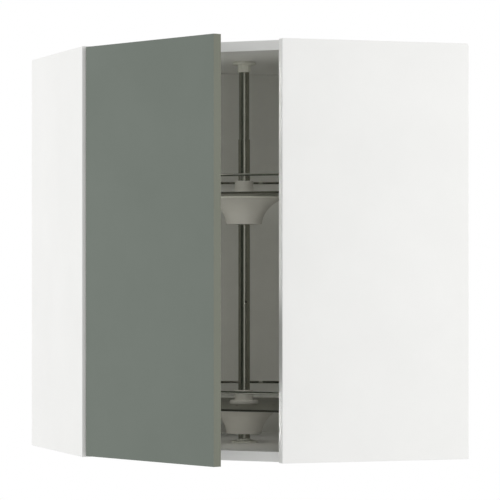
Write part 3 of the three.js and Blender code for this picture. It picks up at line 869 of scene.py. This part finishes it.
@dataclass
class Carcass(Assembly):
    """The panels, back boards and batten.

    Attributes:
        edge_round: Rounding of the banded edges, in millimetres.
        board_round: Rounding of the thin back boards, in millimetres.
        cam_from_side: Side panel's inner face to the middle of a cam fitting, in millimetres.
        cam_along: Places of the cam fittings along a side panel.
    """

    edge_round: float = 0.8
    board_round: float = 0.3
    cam_from_side: float = 34
    cam_along: tuple[float, ...] = (8, 262)

    def build(self) -> None:
        """Builds every board of the carcass."""
        for side in Side:
            front = Vector((-1, 0, 0)) if side is Side.RIGHT else Vector((0, -1, 0))
            self.board(f"{side.value}_side_panel", f"side_board_{side.value}", front)
            back = f"back_board_{side.value}"
            self.dress(
                back, f"thin_back_{side.value}", "back_board", self.board_round, BACK_PAINT, segments=2
            )
        for node in ("top_panel", "bottom_panel"):
            self.board(node, f"{node}_board", Vector((-1, -1, 0)).normalized())
        self.dress("back_corner_post", "corner_batten", "white_board", self.edge_round, WHITE_FOIL)
        self.cams()

    def board(self, node: str, name: str, front: Vector) -> None:
        """Builds a panel whose front edge is banded.

        Args:
            node: The solid that it stands for.
            name: Its name.
            front: Direction that its front edge faces.
        """
        self.dress(
            node, name, "white_board", self.edge_round, WHITE_FOIL, EDGE_BAND,
            second=lambda middle, normal: normal.dot(front) > 0.9,
        )

    def cams(self) -> None:
        """Sets the cam fittings that draw the top and bottom panels to the side panels."""
        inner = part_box("left_side_panel")[1].x / MM + self.cam_from_side
        cam = Fastener("cam_fitting", radius=7.5, height=0.5, crown=0.25, recess=(9, 1.6, 0.3))
        for node, way in (("bottom_panel", 1), ("top_panel", -1)):
            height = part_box(node)[1 if way == 1 else 0].z / MM
            places = [
                place
                for along in self.cam_along
                for place in ((inner, along, height), (along, inner, height))
            ]
            cam.fix(self, node, places, (0, 0, way))
        cam.put_away()


@dataclass
class Hangers(Assembly):
    """The suspension brackets in the upper rear corners.

    Attributes:
        shell_round: Rounding of the moulded housing, in millimetres.
        hook_round: Rounding of the pressed hook, in millimetres.
        screw_rise: Middle of the housing to each of the two adjusting screws in its front.
    """

    shell_round: float = 0.8
    hook_round: float = 0.5
    screw_rise: float = 15

    def build(self) -> None:
        """Builds a housing and a hook on each side."""
        screw = Fastener("adjusting_screw", radius=4.2, height=1.6, crown=1.0, recess=(5, 1.2, 0.9))
        for side in Side:
            housing = f"hanger_housing_{side.value}"
            self.dress(
                housing, f"bracket_cover_{side.value}", "grey_plastic", self.shell_round, GREY_MOULDING
            )
            hook = f"hanger_hook_{side.value}"
            self.dress(hook, f"wall_hook_{side.value}", "zinc_steel", self.hook_round, NICKEL)
            low, high = (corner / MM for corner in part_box(housing))
            middle = (low + high) / 2
            if side is Side.LEFT:
                front, way = Vector((middle.x, low.y, middle.z)), Vector((0, -1, 0))
            else:
                front, way = Vector((low.x, middle.y, middle.z)), Vector((-1, 0, 0))
            places = [front + Vector((0, 0, rise)) for rise in (-self.screw_rise, self.screw_rise)]
            screw.fix(self, f"bracket_{side.value}", places, way)
        screw.put_away()


@dataclass
class Door(Assembly):
    """The door leaf with its bumpers.

    Attributes:
        body: The body that it rides on.
        edge_round: Rounding of the leaf's edges, in millimetres.
        bumper_round: Rounding of a bumper's edges.
    """

    body: str = "door"
    edge_round: float = 1.0
    bumper_round: float = 0.6

    def build(self) -> None:
        """Builds the leaf and both bumpers."""
        outwards = Vector((math.sin(DOOR_TURN), -math.cos(DOOR_TURN), 0))
        # The leaf's roundings take the third finish, painted shade for the dark line along its edges.
        self.dress(
            "door_panel", "door_leaf", "door_lacquer", self.edge_round, DOOR_FACE, DOOR_EDGE, DOOR_ROUNDING_SHADE,
            second=lambda middle, normal: abs(normal.dot(outwards)) < 0.5, line=2,
        )
        for level in Level:
            node, name = f"door_bumper_{level.value}", f"bumper_{level.value}"
            self.dress(node, name, "clear_rubber", self.bumper_round, CLEAR_RUBBER)


@dataclass
class Hinges(Assembly):
    """The two concealed hinges.

    Attributes:
        press_round: Rounding of the pressed steel, in millimetres.
        plate_screws: Middle of a plate's wings along the panel, and their height from the hinge's.
        arm_screws: Places along the panel of the arm's two screws.
        cup_from_edge: Door's edge to the middle of the cup.
        cup_screws: Height of the cup's screws from the hinge's.
        cup_flange: Door's back face to the top of the cup's flange.
        door_thickness: Thickness of the door.
    """

    # What each part is called in the solids and here, and what it rides on if not its own body.
    PARTS = (
        ("plate", "mounting_plate", "cabinet"),
        ("arm", "arm", "cabinet"),
        ("cup", "cup", "door"),
        ("long_link", "long_link", ""),
        ("short_link", "short_link", ""),
    )

    press_round: float = 0.35
    plate_screws: tuple[float, float] = (-2, 16.5)
    arm_screws: tuple[float, ...] = (-6.5, 16)
    cup_from_edge: float = 21.5
    cup_screws: float = 22.8
    cup_flange: float = 1.7
    door_thickness: float = 17

    def build(self) -> None:
        """Builds the plates, arms, cups and links."""
        for level in Level:
            for part, title, body in self.PARTS:
                self.dress(
                    f"hinge_{part}_{level.value}", f"hinge_{title}_{level.value}_steel", "zinc_steel",
                    self.press_round, NICKEL, segments=2, body=body or f"{part}_{level.value}",
                )
        self.screws()

    def screws(self) -> None:
        """Sets the screws of the plates, the arms and the cups."""
        small = Fastener("panel_screw", radius=3.6, height=1.2, crown=0.8, recess=(4.4, 1.1, 0.8))
        large = Fastener("arm_screw", radius=3.9, height=1.6, crown=0.9, recess=(5.0, 1.3, 1.0))
        outward = Vector((math.sin(DOOR_TURN), -math.cos(DOOR_TURN), 0))
        along = Vector((math.cos(DOOR_TURN), math.sin(DOOR_TURN), 0))
        low, high = (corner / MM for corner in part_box("door_panel"))
        heel = Vector((low.x - self.door_thickness * outward.x, high.y, 0))
        for level in Level:
            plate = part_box(f"hinge_plate_{level.value}")
            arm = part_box(f"hinge_arm_{level.value}")
            height = (plate[0].z + plate[1].z) / 2 / MM
            at, rise = self.plate_screws
            wings = [(plate[1].x / MM, at, height + way * rise) for way in (-1, 1)]
            small.fix(self, f"plate_{level.value}", wings, (1, 0, 0))
            backs = [(arm[1].x / MM, at, height) for at in self.arm_screws]
            large.fix(self, f"arm_{level.value}", backs, (1, 0, 0))
            face = heel + along * self.cup_from_edge - outward * self.cup_flange
            ears = [face + Vector((0, 0, height + way * self.cup_screws)) for way in (-1, 1)]
            small.fix(self, f"cup_{level.value}", ears, -outward, body="door")
        small.put_away()
        large.put_away()


@dataclass
class Column(Assembly):
    """The telescopic post between its two bearings.

    Attributes:
        wide: Radius of the lower tube, in millimetres.
        narrow: Radius of the upper tube.
        wall: Wall of both tubes.
        play: Gap between a tube and its bearing.
        web: Thickness of a bearing across the end of the post.
        collar: Radius of the collar round the narrow tube's upper end.
        flange: Radii of the floor's and the ceiling's flange.
        groove: Depth and height of the groove between the upper flange and the ceiling.
        ceiling_disc: Height of the upper flange with its groove.
        floor_disc: Height of the lower flange.
        slope: Width and height of the slope round the lower flange.
        lip: Wall of the raised ring on the lower flange, at its foot and at its top.
        lock_hole: Radius of the hole for the lock screw.
        flange_screws: Distance of the lower flange's screws from the axis, and how many.
        first_screw: Degrees to the first of them.
    """

    wide: float = 11.8
    narrow: float = 10.4
    wall: float = 1.0
    play: float = 0.4
    web: float = 2
    collar: float = 12.9
    flange: tuple[float, float] = (27.2, 24.2)
    groove: tuple[float, float] = (2.4, 2.2)
    ceiling_disc: float = 6
    floor_disc: float = 3.8
    slope: tuple[float, float] = (4, 1.2)
    lip: tuple[float, float] = (1.4, 1.1)
    lock_hole: float = 2.3
    flange_screws: tuple[float, int] = (18.2, 3)
    first_screw: float = 15

    def tube(self, node: str, radius: float) -> list[Corner]:
        """Draws the profile of a tube with rolled ends, as tall as its solid.

        Args:
            node: The solid.
            radius: The tube's outer radius in millimetres.

        Returns:
            The profile's corners.
        """
        low, high = (corner.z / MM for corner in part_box(node))
        inside = radius - self.wall
        return [(inside, low, 0.2), (radius, low, 0.5), (radius, high, 0.5), (inside, high, 0.2)]

    def build(self) -> None:
        """Builds the tubes, the lock screw and the bearings."""
        self.lower_tube()
        corners = self.tube("post_upper_tube", self.narrow)
        self.lathe("post_upper_tube", "narrow_tube", "chrome_tube", CHROME, corners, 4)
        self.dress("post_lock_screw", "lock_screw", "zinc_steel", 0.2, SCREW_BLACK, segments=2)
        self.floor_bearing()
        self.ceiling_bearing()
        self.bearing_screws()

    def lower_tube(self) -> None:
        """Builds the wide tube, with the hole for the lock screw in its front."""
        tube = turned("wide_tube", eased(self.tube("post_lower_tube", self.wide), 4))
        low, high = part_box("post_lock_screw")
        drill = added(
            bpy.ops.mesh.primitive_cylinder_add, (0, -self.wide, (low.z + high.z) / 2 / MM),
            vertices=24, radius=self.lock_hole * MM, depth=20 * MM, rotation=(math.pi / 2, 0, 0),
        )
        joined(tube, drill, carve=True)
        shaded(tube)
        self.keep(tube, "chrome_tube", "post_lower_tube", finishes=[CHROME])

    def bearing_screws(self) -> None:
        """Sets the screws that hold the lower bearing to the bottom panel."""
        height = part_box("floor_bearing")[0].z / MM + self.floor_disc
        screw = Fastener("flange_screw", radius=2.9, height=0.6, crown=0.4, recess=(3.6, 0.9, 0.4))
        places = ring(*self.flange_screws, height, self.first_screw)
        screw.fix(self, "floor_bearing", places, (0, 0, 1))
        screw.put_away()

    def floor_bearing(self) -> None:
        """Builds the flanged cup that the post stands in."""
        low, high = (corner.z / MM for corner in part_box("floor_bearing"))
        bore = self.wide + self.play
        rim = self.flange[0]
        disc = low + self.floor_disc
        width, fall = self.slope
        foot, top = self.lip
        corners = [
            (0, low), (rim, low, 0.4), (rim, disc - fall, 0.8), (rim - width, disc, 1.6),
            (bore + foot, disc, 0.4), (bore + top, high, 0.4), (bore, high, 0.3),
            (bore, low + self.web), (0, low + self.web),
        ]
        self.lathe("floor_bearing", "floor_bearing_moulding", "grey_plastic", PALE_MOULDING, corners)

    def ceiling_bearing(self) -> None:
        """Builds the flanged collar that holds the post's upper end."""
        low, high = (corner.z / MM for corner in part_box("ceiling_bearing"))
        bore = self.narrow + self.play
        rim = self.flange[1]
        depth, height = self.groove
        disc = high - self.ceiling_disc
        corners = [
            (0, high - self.web), (bore, high - self.web), (bore, low, 0.2), (self.collar, low, 0.5),
            (self.collar, disc, 0.8), (rim - 1, disc, 0.9), (rim, high - height, 0.8),
            (rim - depth, high - height, 0.3), (rim - depth, high), (0, high),
        ]
        self.lathe("ceiling_bearing", "ceiling_bearing_moulding", "grey_plastic", PALE_MOULDING, corners)


@dataclass
class Shelf(Assembly):
    """One turning shelf with its rail, and the ring and washer that carry it.

    Attributes:
        level: Which shelf it is.
        board: Thickness of the board, in millimetres.
        rim: Width of the strip that is drawn round the board's edge before the middle is filled.
        radius: Radius of the board's round.
        straight: Axis to the board's straight front.
        corner: Radius where they meet.
        post: Radius of the tube that it turns on.
        play: Gap between that tube and what turns round it.
        carrier: Radius of the clamped ring and of the washer.
        hub: Bottom and top radius of the flared hub, and its height.
        waist: Radius and height that pull its side in.
        hub_wall: Wall of the hub.
        bead: Height of the upright bead round the hub's mouth.
        collar: Radius and height of the spool's collar.
        flange: Radius and height of the spool's flange.
        sleeve: Radius of the spool's sleeve.
        wire: Radius of the rail's wire.
        inset: Board's edge to the middle of the rail.
        rail_height: Board's top to the middle of the rail.
        foot: Width, depth and height of a rail post's foot.
        stem: Width and depth of a rail post.
        clip: Wall of the clip round the rail.
        slot: Height of the slot in the clip, which faces the middle of the shelf.
        cut: Length and depth of what cuts the wire's seat and the slot.
        spacing: Degrees between rail posts.
        posts: Number of rail posts.
        hub_screws: Distance from the axis of the screws that hold the hub, and how many.
        underside: Height of the board's underside, which comes from its solid.
    """

    level: Level = Level.LOWER
    board: float = 4
    rim: float = 8
    radius: float = 280
    straight: float = 215.01
    corner: float = 20
    post: float = 11.8
    play: float = 0.5
    carrier: float = 17
    hub: tuple[float, float, float] = (35.4, 90, 55)
    waist: tuple[float, float] = (39.4, 40)
    hub_wall: float = 3
    bead: float = 2.8
    collar: tuple[float, float] = (18.6, 28)
    flange: tuple[float, float] = (28.8, 7.5)
    sleeve: float = 16.5
    wire: float = 2.5
    inset: float = 4
    rail_height: float = 32.5
    foot: tuple[float, float, float] = (13, 8, 1.5)
    stem: tuple[float, float] = (8, 6)
    clip: float = 0.9
    slot: float = 2.6
    cut: tuple[float, float] = (30, 10)
    spacing: float = 37
    posts: int = 8
    hub_screws: tuple[float, int] = (78, 6)
    underside: float = field(init=False, default=0)

    def __post_init__(self) -> None:
        """Takes the body and the board's height from the level."""
        self.body = f"{self.level.value}_shelf"
        self.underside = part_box(f"{self.level.value}_shelf_board")[0].z / MM

    def round_the_edge(self, step: float) -> None:
        """Carries a section once round the shelf's outline.

        The section is what is selected in the mesh that is open, and it stands where the round of
        the outline ends on the right.

        Args:
            step: Degrees between the sections of the long round.
        """
        reach = self.radius - self.corner
        drop = self.straight - self.corner
        aside = math.sqrt(reach**2 - drop**2)
        start = math.atan2(drop, aside)

        def bend(angle: float, steps: int, middle: Sequence[float] = (0, 0)) -> None:
            """Carries the section with the clock, seen from above.

            Args:
                angle: How far, in radians.
                steps: Stretches in the bend.
                middle: What it goes round, in millimetres.
            """
            centre = (middle[0] * MM, middle[1] * MM, 0)
            bpy.ops.mesh.spin(steps=steps, angle=-angle, center=centre, axis=(0, 0, 1))

        long_way = math.pi + 2 * start
        bend(long_way, round(math.degrees(long_way) / step))
        corner, corner_steps = math.pi / 2 - start, 12
        bend(corner, corner_steps, (-aside, -drop))
        front = (2 * aside * MM, 0, 0)
        bpy.ops.mesh.extrude_region_move(TRANSFORM_OT_translate={"value": front})
        bend(corner, corner_steps, (aside, -drop))

    def edge_start(self) -> float:
        """Finds the angle in radians at which the outline's round ends on the right."""
        return -math.asin((self.straight - self.corner) / (self.radius - self.corner))

    def build(self) -> None:
        """Builds every piece of the shelf."""
        self.build_board()
        self.build_hub()
        self.build_spool()
        self.build_rail()
        self.build_rail_posts()
        self.build_carrier()
        self.build_hub_screws()

    def build_hub_screws(self) -> None:
        """Sets the flat screws through the board into the mouth of the hub."""
        screw = Fastener("hub_screw", 3.4, 0.5, crown=0.35, recess=(4.2, 1.0, 0.35), finish=SCREW_BLACK)
        places = ring(*self.hub_screws, self.underside + self.board)
        screw.fix(self, f"{self.level.value}_board", places, (0, 0, 1))
        screw.put_away()

    def build_board(self) -> None:
        """Builds the board, with a rounded glossy rim."""
        name = self.level.value
        top = self.underside + self.board
        inner = self.radius - self.rim
        corners = [
            (inner, self.underside), (self.radius, self.underside, 0.9), (self.radius, top, 0.9),
            (inner, top),
        ]
        angle = self.edge_start()
        way = Vector((math.cos(angle), math.sin(angle)))
        board = traced(f"{name}_board_sheet", eased(corners, 4), way)
        with editing(board):
            bpy.ops.mesh.select_all(action="SELECT")
            self.round_the_edge(1.5)
            bpy.ops.mesh.select_all(action="SELECT")
            bpy.ops.mesh.remove_doubles(threshold=0.01 * MM)
            bpy.ops.mesh.fill_holes(sides=0)
            bpy.ops.mesh.select_all(action="SELECT")
            bpy.ops.mesh.normals_make_consistent(inside=False)
        drill = added(
            bpy.ops.mesh.primitive_cylinder_add, (0, 0, top), vertices=96,
            radius=(self.sleeve + 0.3) * MM, depth=10 * self.board * MM,
        )
        joined(board, drill, carve=True)
        swung(board, PANEL_TURN)
        painted(board, [SHELF_FACE, SHELF_RIM], lambda middle, normal: abs(normal.z) < 0.9)
        shaded(board)
        self.keep(board, "shelf_sheet", f"{name}_shelf_board")

    def build_hub(self) -> None:
        """Builds the flared hub, a bowl under the board with a bead round its mouth."""
        name = self.level.value
        bottom_radius, top_radius, height = self.hub
        bottom = self.underside - height
        bore = self.post + self.play
        mouth = self.underside - self.bead

        def flare(shrink: float, steps: int = 24) -> list[Corner]:
            """Draws the side of the hub.

            Args:
                shrink: Millimetres that it is drawn in by.
                steps: Stretches in the curve.

            Returns:
                Its points, from the foot up.
            """
            points = []
            for i in range(steps + 1):
                t = i / steps
                near, middle, far = (1 - t) ** 2, 2 * t * (1 - t), t**2
                radius = near * bottom_radius + middle * self.waist[0] + far * top_radius
                points.append((radius - shrink, bottom + middle * self.waist[1] + far * height))
            return points

        outside = flare(0)
        inside = [point for point in flare(self.hub_wall) if point[1] > bottom + self.hub_wall]
        corners = [
            (bore, bottom, 0.4), (outside[0][0], bottom, 1.6), *outside[1:-1],
            (outside[-1][0] - 1.0, mouth - 0.6), (top_radius, mouth, 0.4),
            (top_radius, self.underside, 0.6), *reversed(inside[:-1]),
            (outside[0][0] - self.hub_wall, bottom + self.hub_wall, 0.8),
            (bore, bottom + self.hub_wall, 0.4),
        ]
        hub = turned(f"{name}_hub_bowl", eased(corners, 4))
        # The faces on top of the bead take the paler moulding: a painted highlight for the light line
        # along the hub's mouth.
        bead = Vector((top_radius - 0.9, mouth - 0.4)) * MM
        painted(
            hub, [GREY_MOULDING, PALE_MOULDING],
            lambda middle, normal: middle.xy.length > bead.x and middle.z > bead.y,
        )
        shaded(hub, 40)
        self.keep(hub, "grey_plastic", f"{name}_shelf_hub")

    def build_spool(self) -> None:
        """Builds the spool, with its flange on the board and its sleeve through it."""
        node = f"{self.level.value}_shelf_spool"
        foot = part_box(node)[0].z / MM
        top = self.underside + self.board
        bore = self.post + self.play
        flange, flange_height = self.flange
        collar, collar_height = self.collar
        corners = [
            (bore, foot, 0.4), (self.sleeve, foot, 0.6), (self.sleeve, top), (flange - 0.8, top),
            (flange, top + 1.5, 1.2), (flange, top + flange_height, 2.6),
            (collar, top + flange_height, 1.5), (collar, top + collar_height, 1.2),
            (bore + 1.2, top + collar_height, 0.4), (bore, top + collar_height - 1.2, 0.4),
        ]
        name = f"{self.level.value}_spool_collar"
        self.lathe(node, name, "grey_plastic", GREY_MOULDING, corners)

    def build_rail(self) -> None:
        """Builds the wire rail round the shelf."""
        name = self.level.value
        angle = self.edge_start()
        reach = self.radius - self.inset
        middle = self.underside + self.board + self.rail_height
        place = (reach * math.cos(angle), reach * math.sin(angle), middle)
        rail = added(
            bpy.ops.mesh.primitive_circle_add, place, vertices=20, radius=self.wire * MM,
            rotation=(math.pi / 2, 0, angle),
        )
        rail.name = f"{name}_rail_wire"
        with editing(rail):
            bpy.ops.mesh.select_all(action="SELECT")
            self.round_the_edge(2)
        sealed(rail)
        swung(rail, PANEL_TURN)
        shaded(rail, 60)
        self.keep(rail, "chrome_tube", f"{name}_shelf_rail", finishes=[SMOKED_WIRE])

    def build_rail_posts(self) -> None:
        """Builds one rail post, with its foot and its clip, and copies it round the shelf."""
        name = self.level.value
        top = self.underside + self.board
        middle = top + self.rail_height
        reach = self.radius - self.inset
        width, depth, thickness = self.foot
        post = added(
            bpy.ops.mesh.primitive_cube_add, (0, reach, top + thickness / 2), size=1,
            scale=(width * MM, depth * MM, thickness * MM),
        )
        pick(post, lambda middle, normal: abs(normal.z) < 0.5 and abs(normal.x) > 0.5)
        with editing(post, "FACE"):
            bpy.ops.mesh.select_mode(type="EDGE")
            bpy.ops.mesh.bevel(offset=1.6 * MM, segments=4, affect="EDGES")
        stem = added(
            bpy.ops.mesh.primitive_cylinder_add, (0, reach, (top + 0.2 + middle) / 2), vertices=32,
            radius=0.5, depth=1,
            scale=(self.stem[0] * MM, self.stem[1] * MM, (middle - top - 0.4) * MM),
        )

        def rod(radius: float, length: float) -> Thing:
            """Adds a rod that lies along the rail.

            Args:
                radius: Its radius in millimetres.
                length: Its length.

            Returns:
                The rod.
            """
            return added(
                bpy.ops.mesh.primitive_cylinder_add, (0, reach, middle), vertices=32,
                radius=radius * MM, depth=length * MM, rotation=(0, math.pi / 2, 0),
            )

        clip = rod(self.wire + self.clip, self.stem[0])
        wire = rod(self.wire + 0.05, self.cut[0])
        slot = added(
            bpy.ops.mesh.primitive_cube_add, (0, reach - self.cut[1] / 2, middle), size=1,
            scale=(self.cut[0] * MM, self.cut[1] * MM, self.slot * MM),
        )
        joined(post, stem, clip)
        joined(post, wire, slot, carve=True)
        sealed(post)
        rounded(post, 0.3, 2)
        shaded(post, 40)
        painted(post, [PALE_MOULDING])
        for i in range(self.posts):
            turn = PANEL_TURN + math.radians((i - (self.posts - 1) / 2) * self.spacing)
            twin = swung(copied(post, f"{name}_rail_clip_{i + 1}"), turn)
            self.keep(twin, "grey_plastic", f"{name}_rail_post_{i + 1}")
        bpy.data.objects.remove(post)

    def build_carrier(self) -> None:
        """Builds the clamped ring and the washer, which stay with the post."""
        name = self.level.value
        for part, title, slot, finish, play, inner, outer in (
            ("clamp", "clamp_ring", "zinc_steel", NICKEL, 0.3, 0.3, 0.8),
            ("washer", "soft_washer", "clear_rubber", CLEAR_RUBBER, self.play, 0.2, 0.5),
        ):
            node = f"{name}_shelf_{part}"
            low, high = (corner.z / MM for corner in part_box(node))
            bore = self.post + play
            corners = [
                (bore, low, inner), (self.carrier, low, outer), (self.carrier, high, outer),
                (bore, high, inner),
            ]
            self.lathe(node, f"{name}_{title}", slot, finish, corners, 3, "cabinet")


WARM: Colour = (1, 0.99, 0.92)  # light that the boards inside have passed on


@dataclass(frozen=True)
class Softbox:
    """A soft lamp that no camera sees, and no mirror unless it is there for its glint.

    Attributes:
        name: The lamp's name.
        place: Its middle, in metres.
        aim: A point that it faces.
        size: Its width and height.
        power: Its power in watts.
        tint: Its colour.
        spread: Degrees over which its light fans out.
        glint: True for a lamp that only shows in shiny surfaces.
    """

    name: str
    place: tuple[float, float, float]
    aim: tuple[float, float, float]
    size: tuple[float, float]
    power: float
    tint: Colour = (1, 1, 1)
    spread: float = 180
    glint: bool = False

    def hang(self) -> None:
        """Puts the lamp in the scene."""
        data = bpy.data.lights.new(self.name, "AREA")
        data.shape = "RECTANGLE"
        data.size, data.size_y = self.size
        data.energy = self.power
        data.color = self.tint
        data.spread = math.radians(self.spread)
        lamp = bpy.data.objects.new(self.name, data)
        lamp.location = self.place
        way = Vector(self.aim) - Vector(self.place)
        lamp.rotation_euler = way.to_track_quat("-Z", "Y").to_euler()
        lamp.visible_camera = False
        lamp.visible_glossy = self.glint
        lamp.visible_diffuse = not self.glint
        lamp.visible_transmission = False
        bpy.context.scene.collection.objects.link(lamp)


LAMPS = (
    Softbox("left_softbox", (-3.2, 0.8, 0.9), (-0.3, 0, 0.4), (2.4, 2.4), 29),
    Softbox("right_softbox", (2.4, -2.4, 0.9), (0.3, -0.35, 0.4), (2.0, 2.4), 41),
    Softbox("rear_softbox", (2.6, 3.0, 0.9), (0.3, 0.3, 0.4), (2.4, 2.4), 24),
    Softbox("front_fill", (-0.162, -0.162, 0.42), (0, 0, 0.42), (0.34, 0.54), 0.41, WARM),
    Softbox("left_fill", (-0.325, 0.13, 0.49), (0, 0.13, 0.49), (0.3, 0.54), 0.23, WARM),
    Softbox("right_fill", (0.13, -0.325, 0.49), (0.13, 0, 0.49), (0.3, 0.54), 0.13, WARM),
    Softbox("rail_glint", (-0.149, -0.149, 0.561), (-0.149, -0.149, 0), (0.04, 0.34), 0.06, glint=True),
    Softbox("low_fill", (-0.163, -0.163, 0.062), (0, 0, 0.062), (0.4, 0.03), 0.04, WARM, 100),
    Softbox("floor_fill", (0, 0, 0.088), (0, 0, 0), (0.38, 0.38), 0.085, WARM),
    *(
        Softbox(
            f"gap_fill_{bay}", (-0.12, -0.2, height), (0.35, -1.08, height), (0.04, length), power,
            spread=spread,
        )
        for bay, height, length, power, spread in (
            ("top", 0.68, 0.18, 0.03, 46),
            ("middle", 0.44, 0.28, 0.032, 40),
            ("bottom", 0.085, 0.1, 0.015, 38),
        )
    ),
)


@dataclass
class Studio:
    """The camera, the light and the floor.

    Attributes:
        eye: The camera's place, in metres.
        heading: Direction that it looks in, seen from above.
        lens: Focal length in millimetres.
        rise: Vertical shift of the picture.
        floor_height: Height of the floor, in metres, under a cabinet that hangs on its wall.
        daylight: Strength of the pale surroundings on diffuse surfaces.
        floor_radius: Radius of the floor, in metres.
        floor_glow: Light that the floor gives off to the eye, so that it shows as white.
        lamps: The soft lamps: on three sides, and small ones that fill the inside.
    """

    eye: tuple[float, float, float] = (-1.8205, -5.2202, 0.3609)
    heading: tuple[float, float] = (0.3313, 0.9435)
    lens: float = 198.6
    rise: float = 0.0432
    floor_height: float = -1.4
    daylight: float = 0.74
    floor_radius: float = 9
    floor_glow: float = 0.3
    lamps: tuple[Softbox, ...] = LAMPS

    def build(self) -> None:
        """Builds the studio and sets the scene's camera."""
        self.camera()
        self.surroundings()
        self.floor()
        for lamp in self.lamps:
            lamp.hang()
        bpy.context.scene.view_settings.view_transform = "Standard"

    def camera(self) -> None:
        """Sets up the camera at the cabinet's view."""
        data = bpy.data.cameras.new("studio_camera")
        data.lens = self.lens
        data.sensor_width = 36
        data.shift_y = self.rise
        data.clip_end = 100
        camera = bpy.data.objects.new("studio_camera", data)
        turn = math.atan2(-self.heading[0], self.heading[1])
        camera.rotation_euler = Euler((math.pi / 2, 0, turn))
        camera.location = self.eye
        bpy.context.scene.collection.objects.link(camera)
        bpy.context.scene.camera = camera

    @staticmethod
    def _shows(tree: bpy.types.NodeTree) -> Socket:
        """A mask of the rays that should meet plain white: those of the eye, mirrors and glass.

        Args:
            tree: The node tree that it is made in.

        Returns:
            The mask's socket.
        """
        path = tree.nodes.new("ShaderNodeLightPath")
        mask = path.outputs["Is Camera Ray"]
        for ray in ("Is Glossy Ray", "Is Transmission Ray"):
            either = tree.nodes.new("ShaderNodeMath")
            either.operation = "MAXIMUM"
            tree.links.new(mask, either.inputs[0])
            tree.links.new(path.outputs[ray], either.inputs[1])
            mask = either.outputs[0]
        return mask

    def surroundings(self) -> None:
        """Lights the cabinet from pale surroundings, which show as plain white."""
        world = bpy.data.worlds.new("pale_studio")
        bpy.context.scene.world = world
        world.use_nodes = True
        tree = world.node_tree
        tree.nodes.clear()
        mix = tree.nodes.new("ShaderNodeMixShader")
        output = tree.nodes.new("ShaderNodeOutputWorld")
        tree.links.new(self._shows(tree), mix.inputs[0])
        for place, strength in ((1, self.daylight), (2, 1)):
            white = tree.nodes.new("ShaderNodeBackground")
            white.inputs["Color"].default_value = (1, 1, 1, 1)
            white.inputs["Strength"].default_value = strength
            tree.links.new(white.outputs[0], mix.inputs[place])
        tree.links.new(mix.outputs[0], output.inputs["Surface"])

    def floor(self) -> None:
        """Lays the pale floor, which shows as white but keeps the cabinet's shadow."""
        floor = added(
            bpy.ops.mesh.primitive_circle_add, (0, 0, self.floor_height / MM), vertices=96,
            radius=self.floor_radius, fill_type="NGON",
        )
        floor.name = "studio_floor"
        material = bpy.data.materials.new("pale_floor")
        material.use_nodes = True
        tree = material.node_tree
        shader = tree.nodes["Principled BSDF"]
        shader.inputs["Base Color"].default_value = (0.8, 0.8, 0.8, 1)
        shader.inputs["Roughness"].default_value = 0.9
        shader.inputs["Specular IOR Level"].default_value = 0
        shader.inputs["Emission Color"].default_value = (1, 1, 1, 1)
        glow = tree.nodes.new("ShaderNodeMath")
        glow.operation = "MULTIPLY"
        glow.inputs[1].default_value = self.floor_glow
        tree.links.new(self._shows(tree), glow.inputs[0])
        tree.links.new(glow.outputs[0], shader.inputs["Emission Strength"])
        floor.data.materials.append(material)


def main() -> None:
    """Builds the studio, then the cabinet piece by piece."""
    Studio().build()
    Carcass().build()
    Hangers().build()
    Door().build()
    Hinges().build()
    Column().build()
    for level in Level:
        Shelf(level=level).build()


if __name__ == "__main__":
    logging.basicConfig(level=logging.INFO, format="%(message)s")
    main()
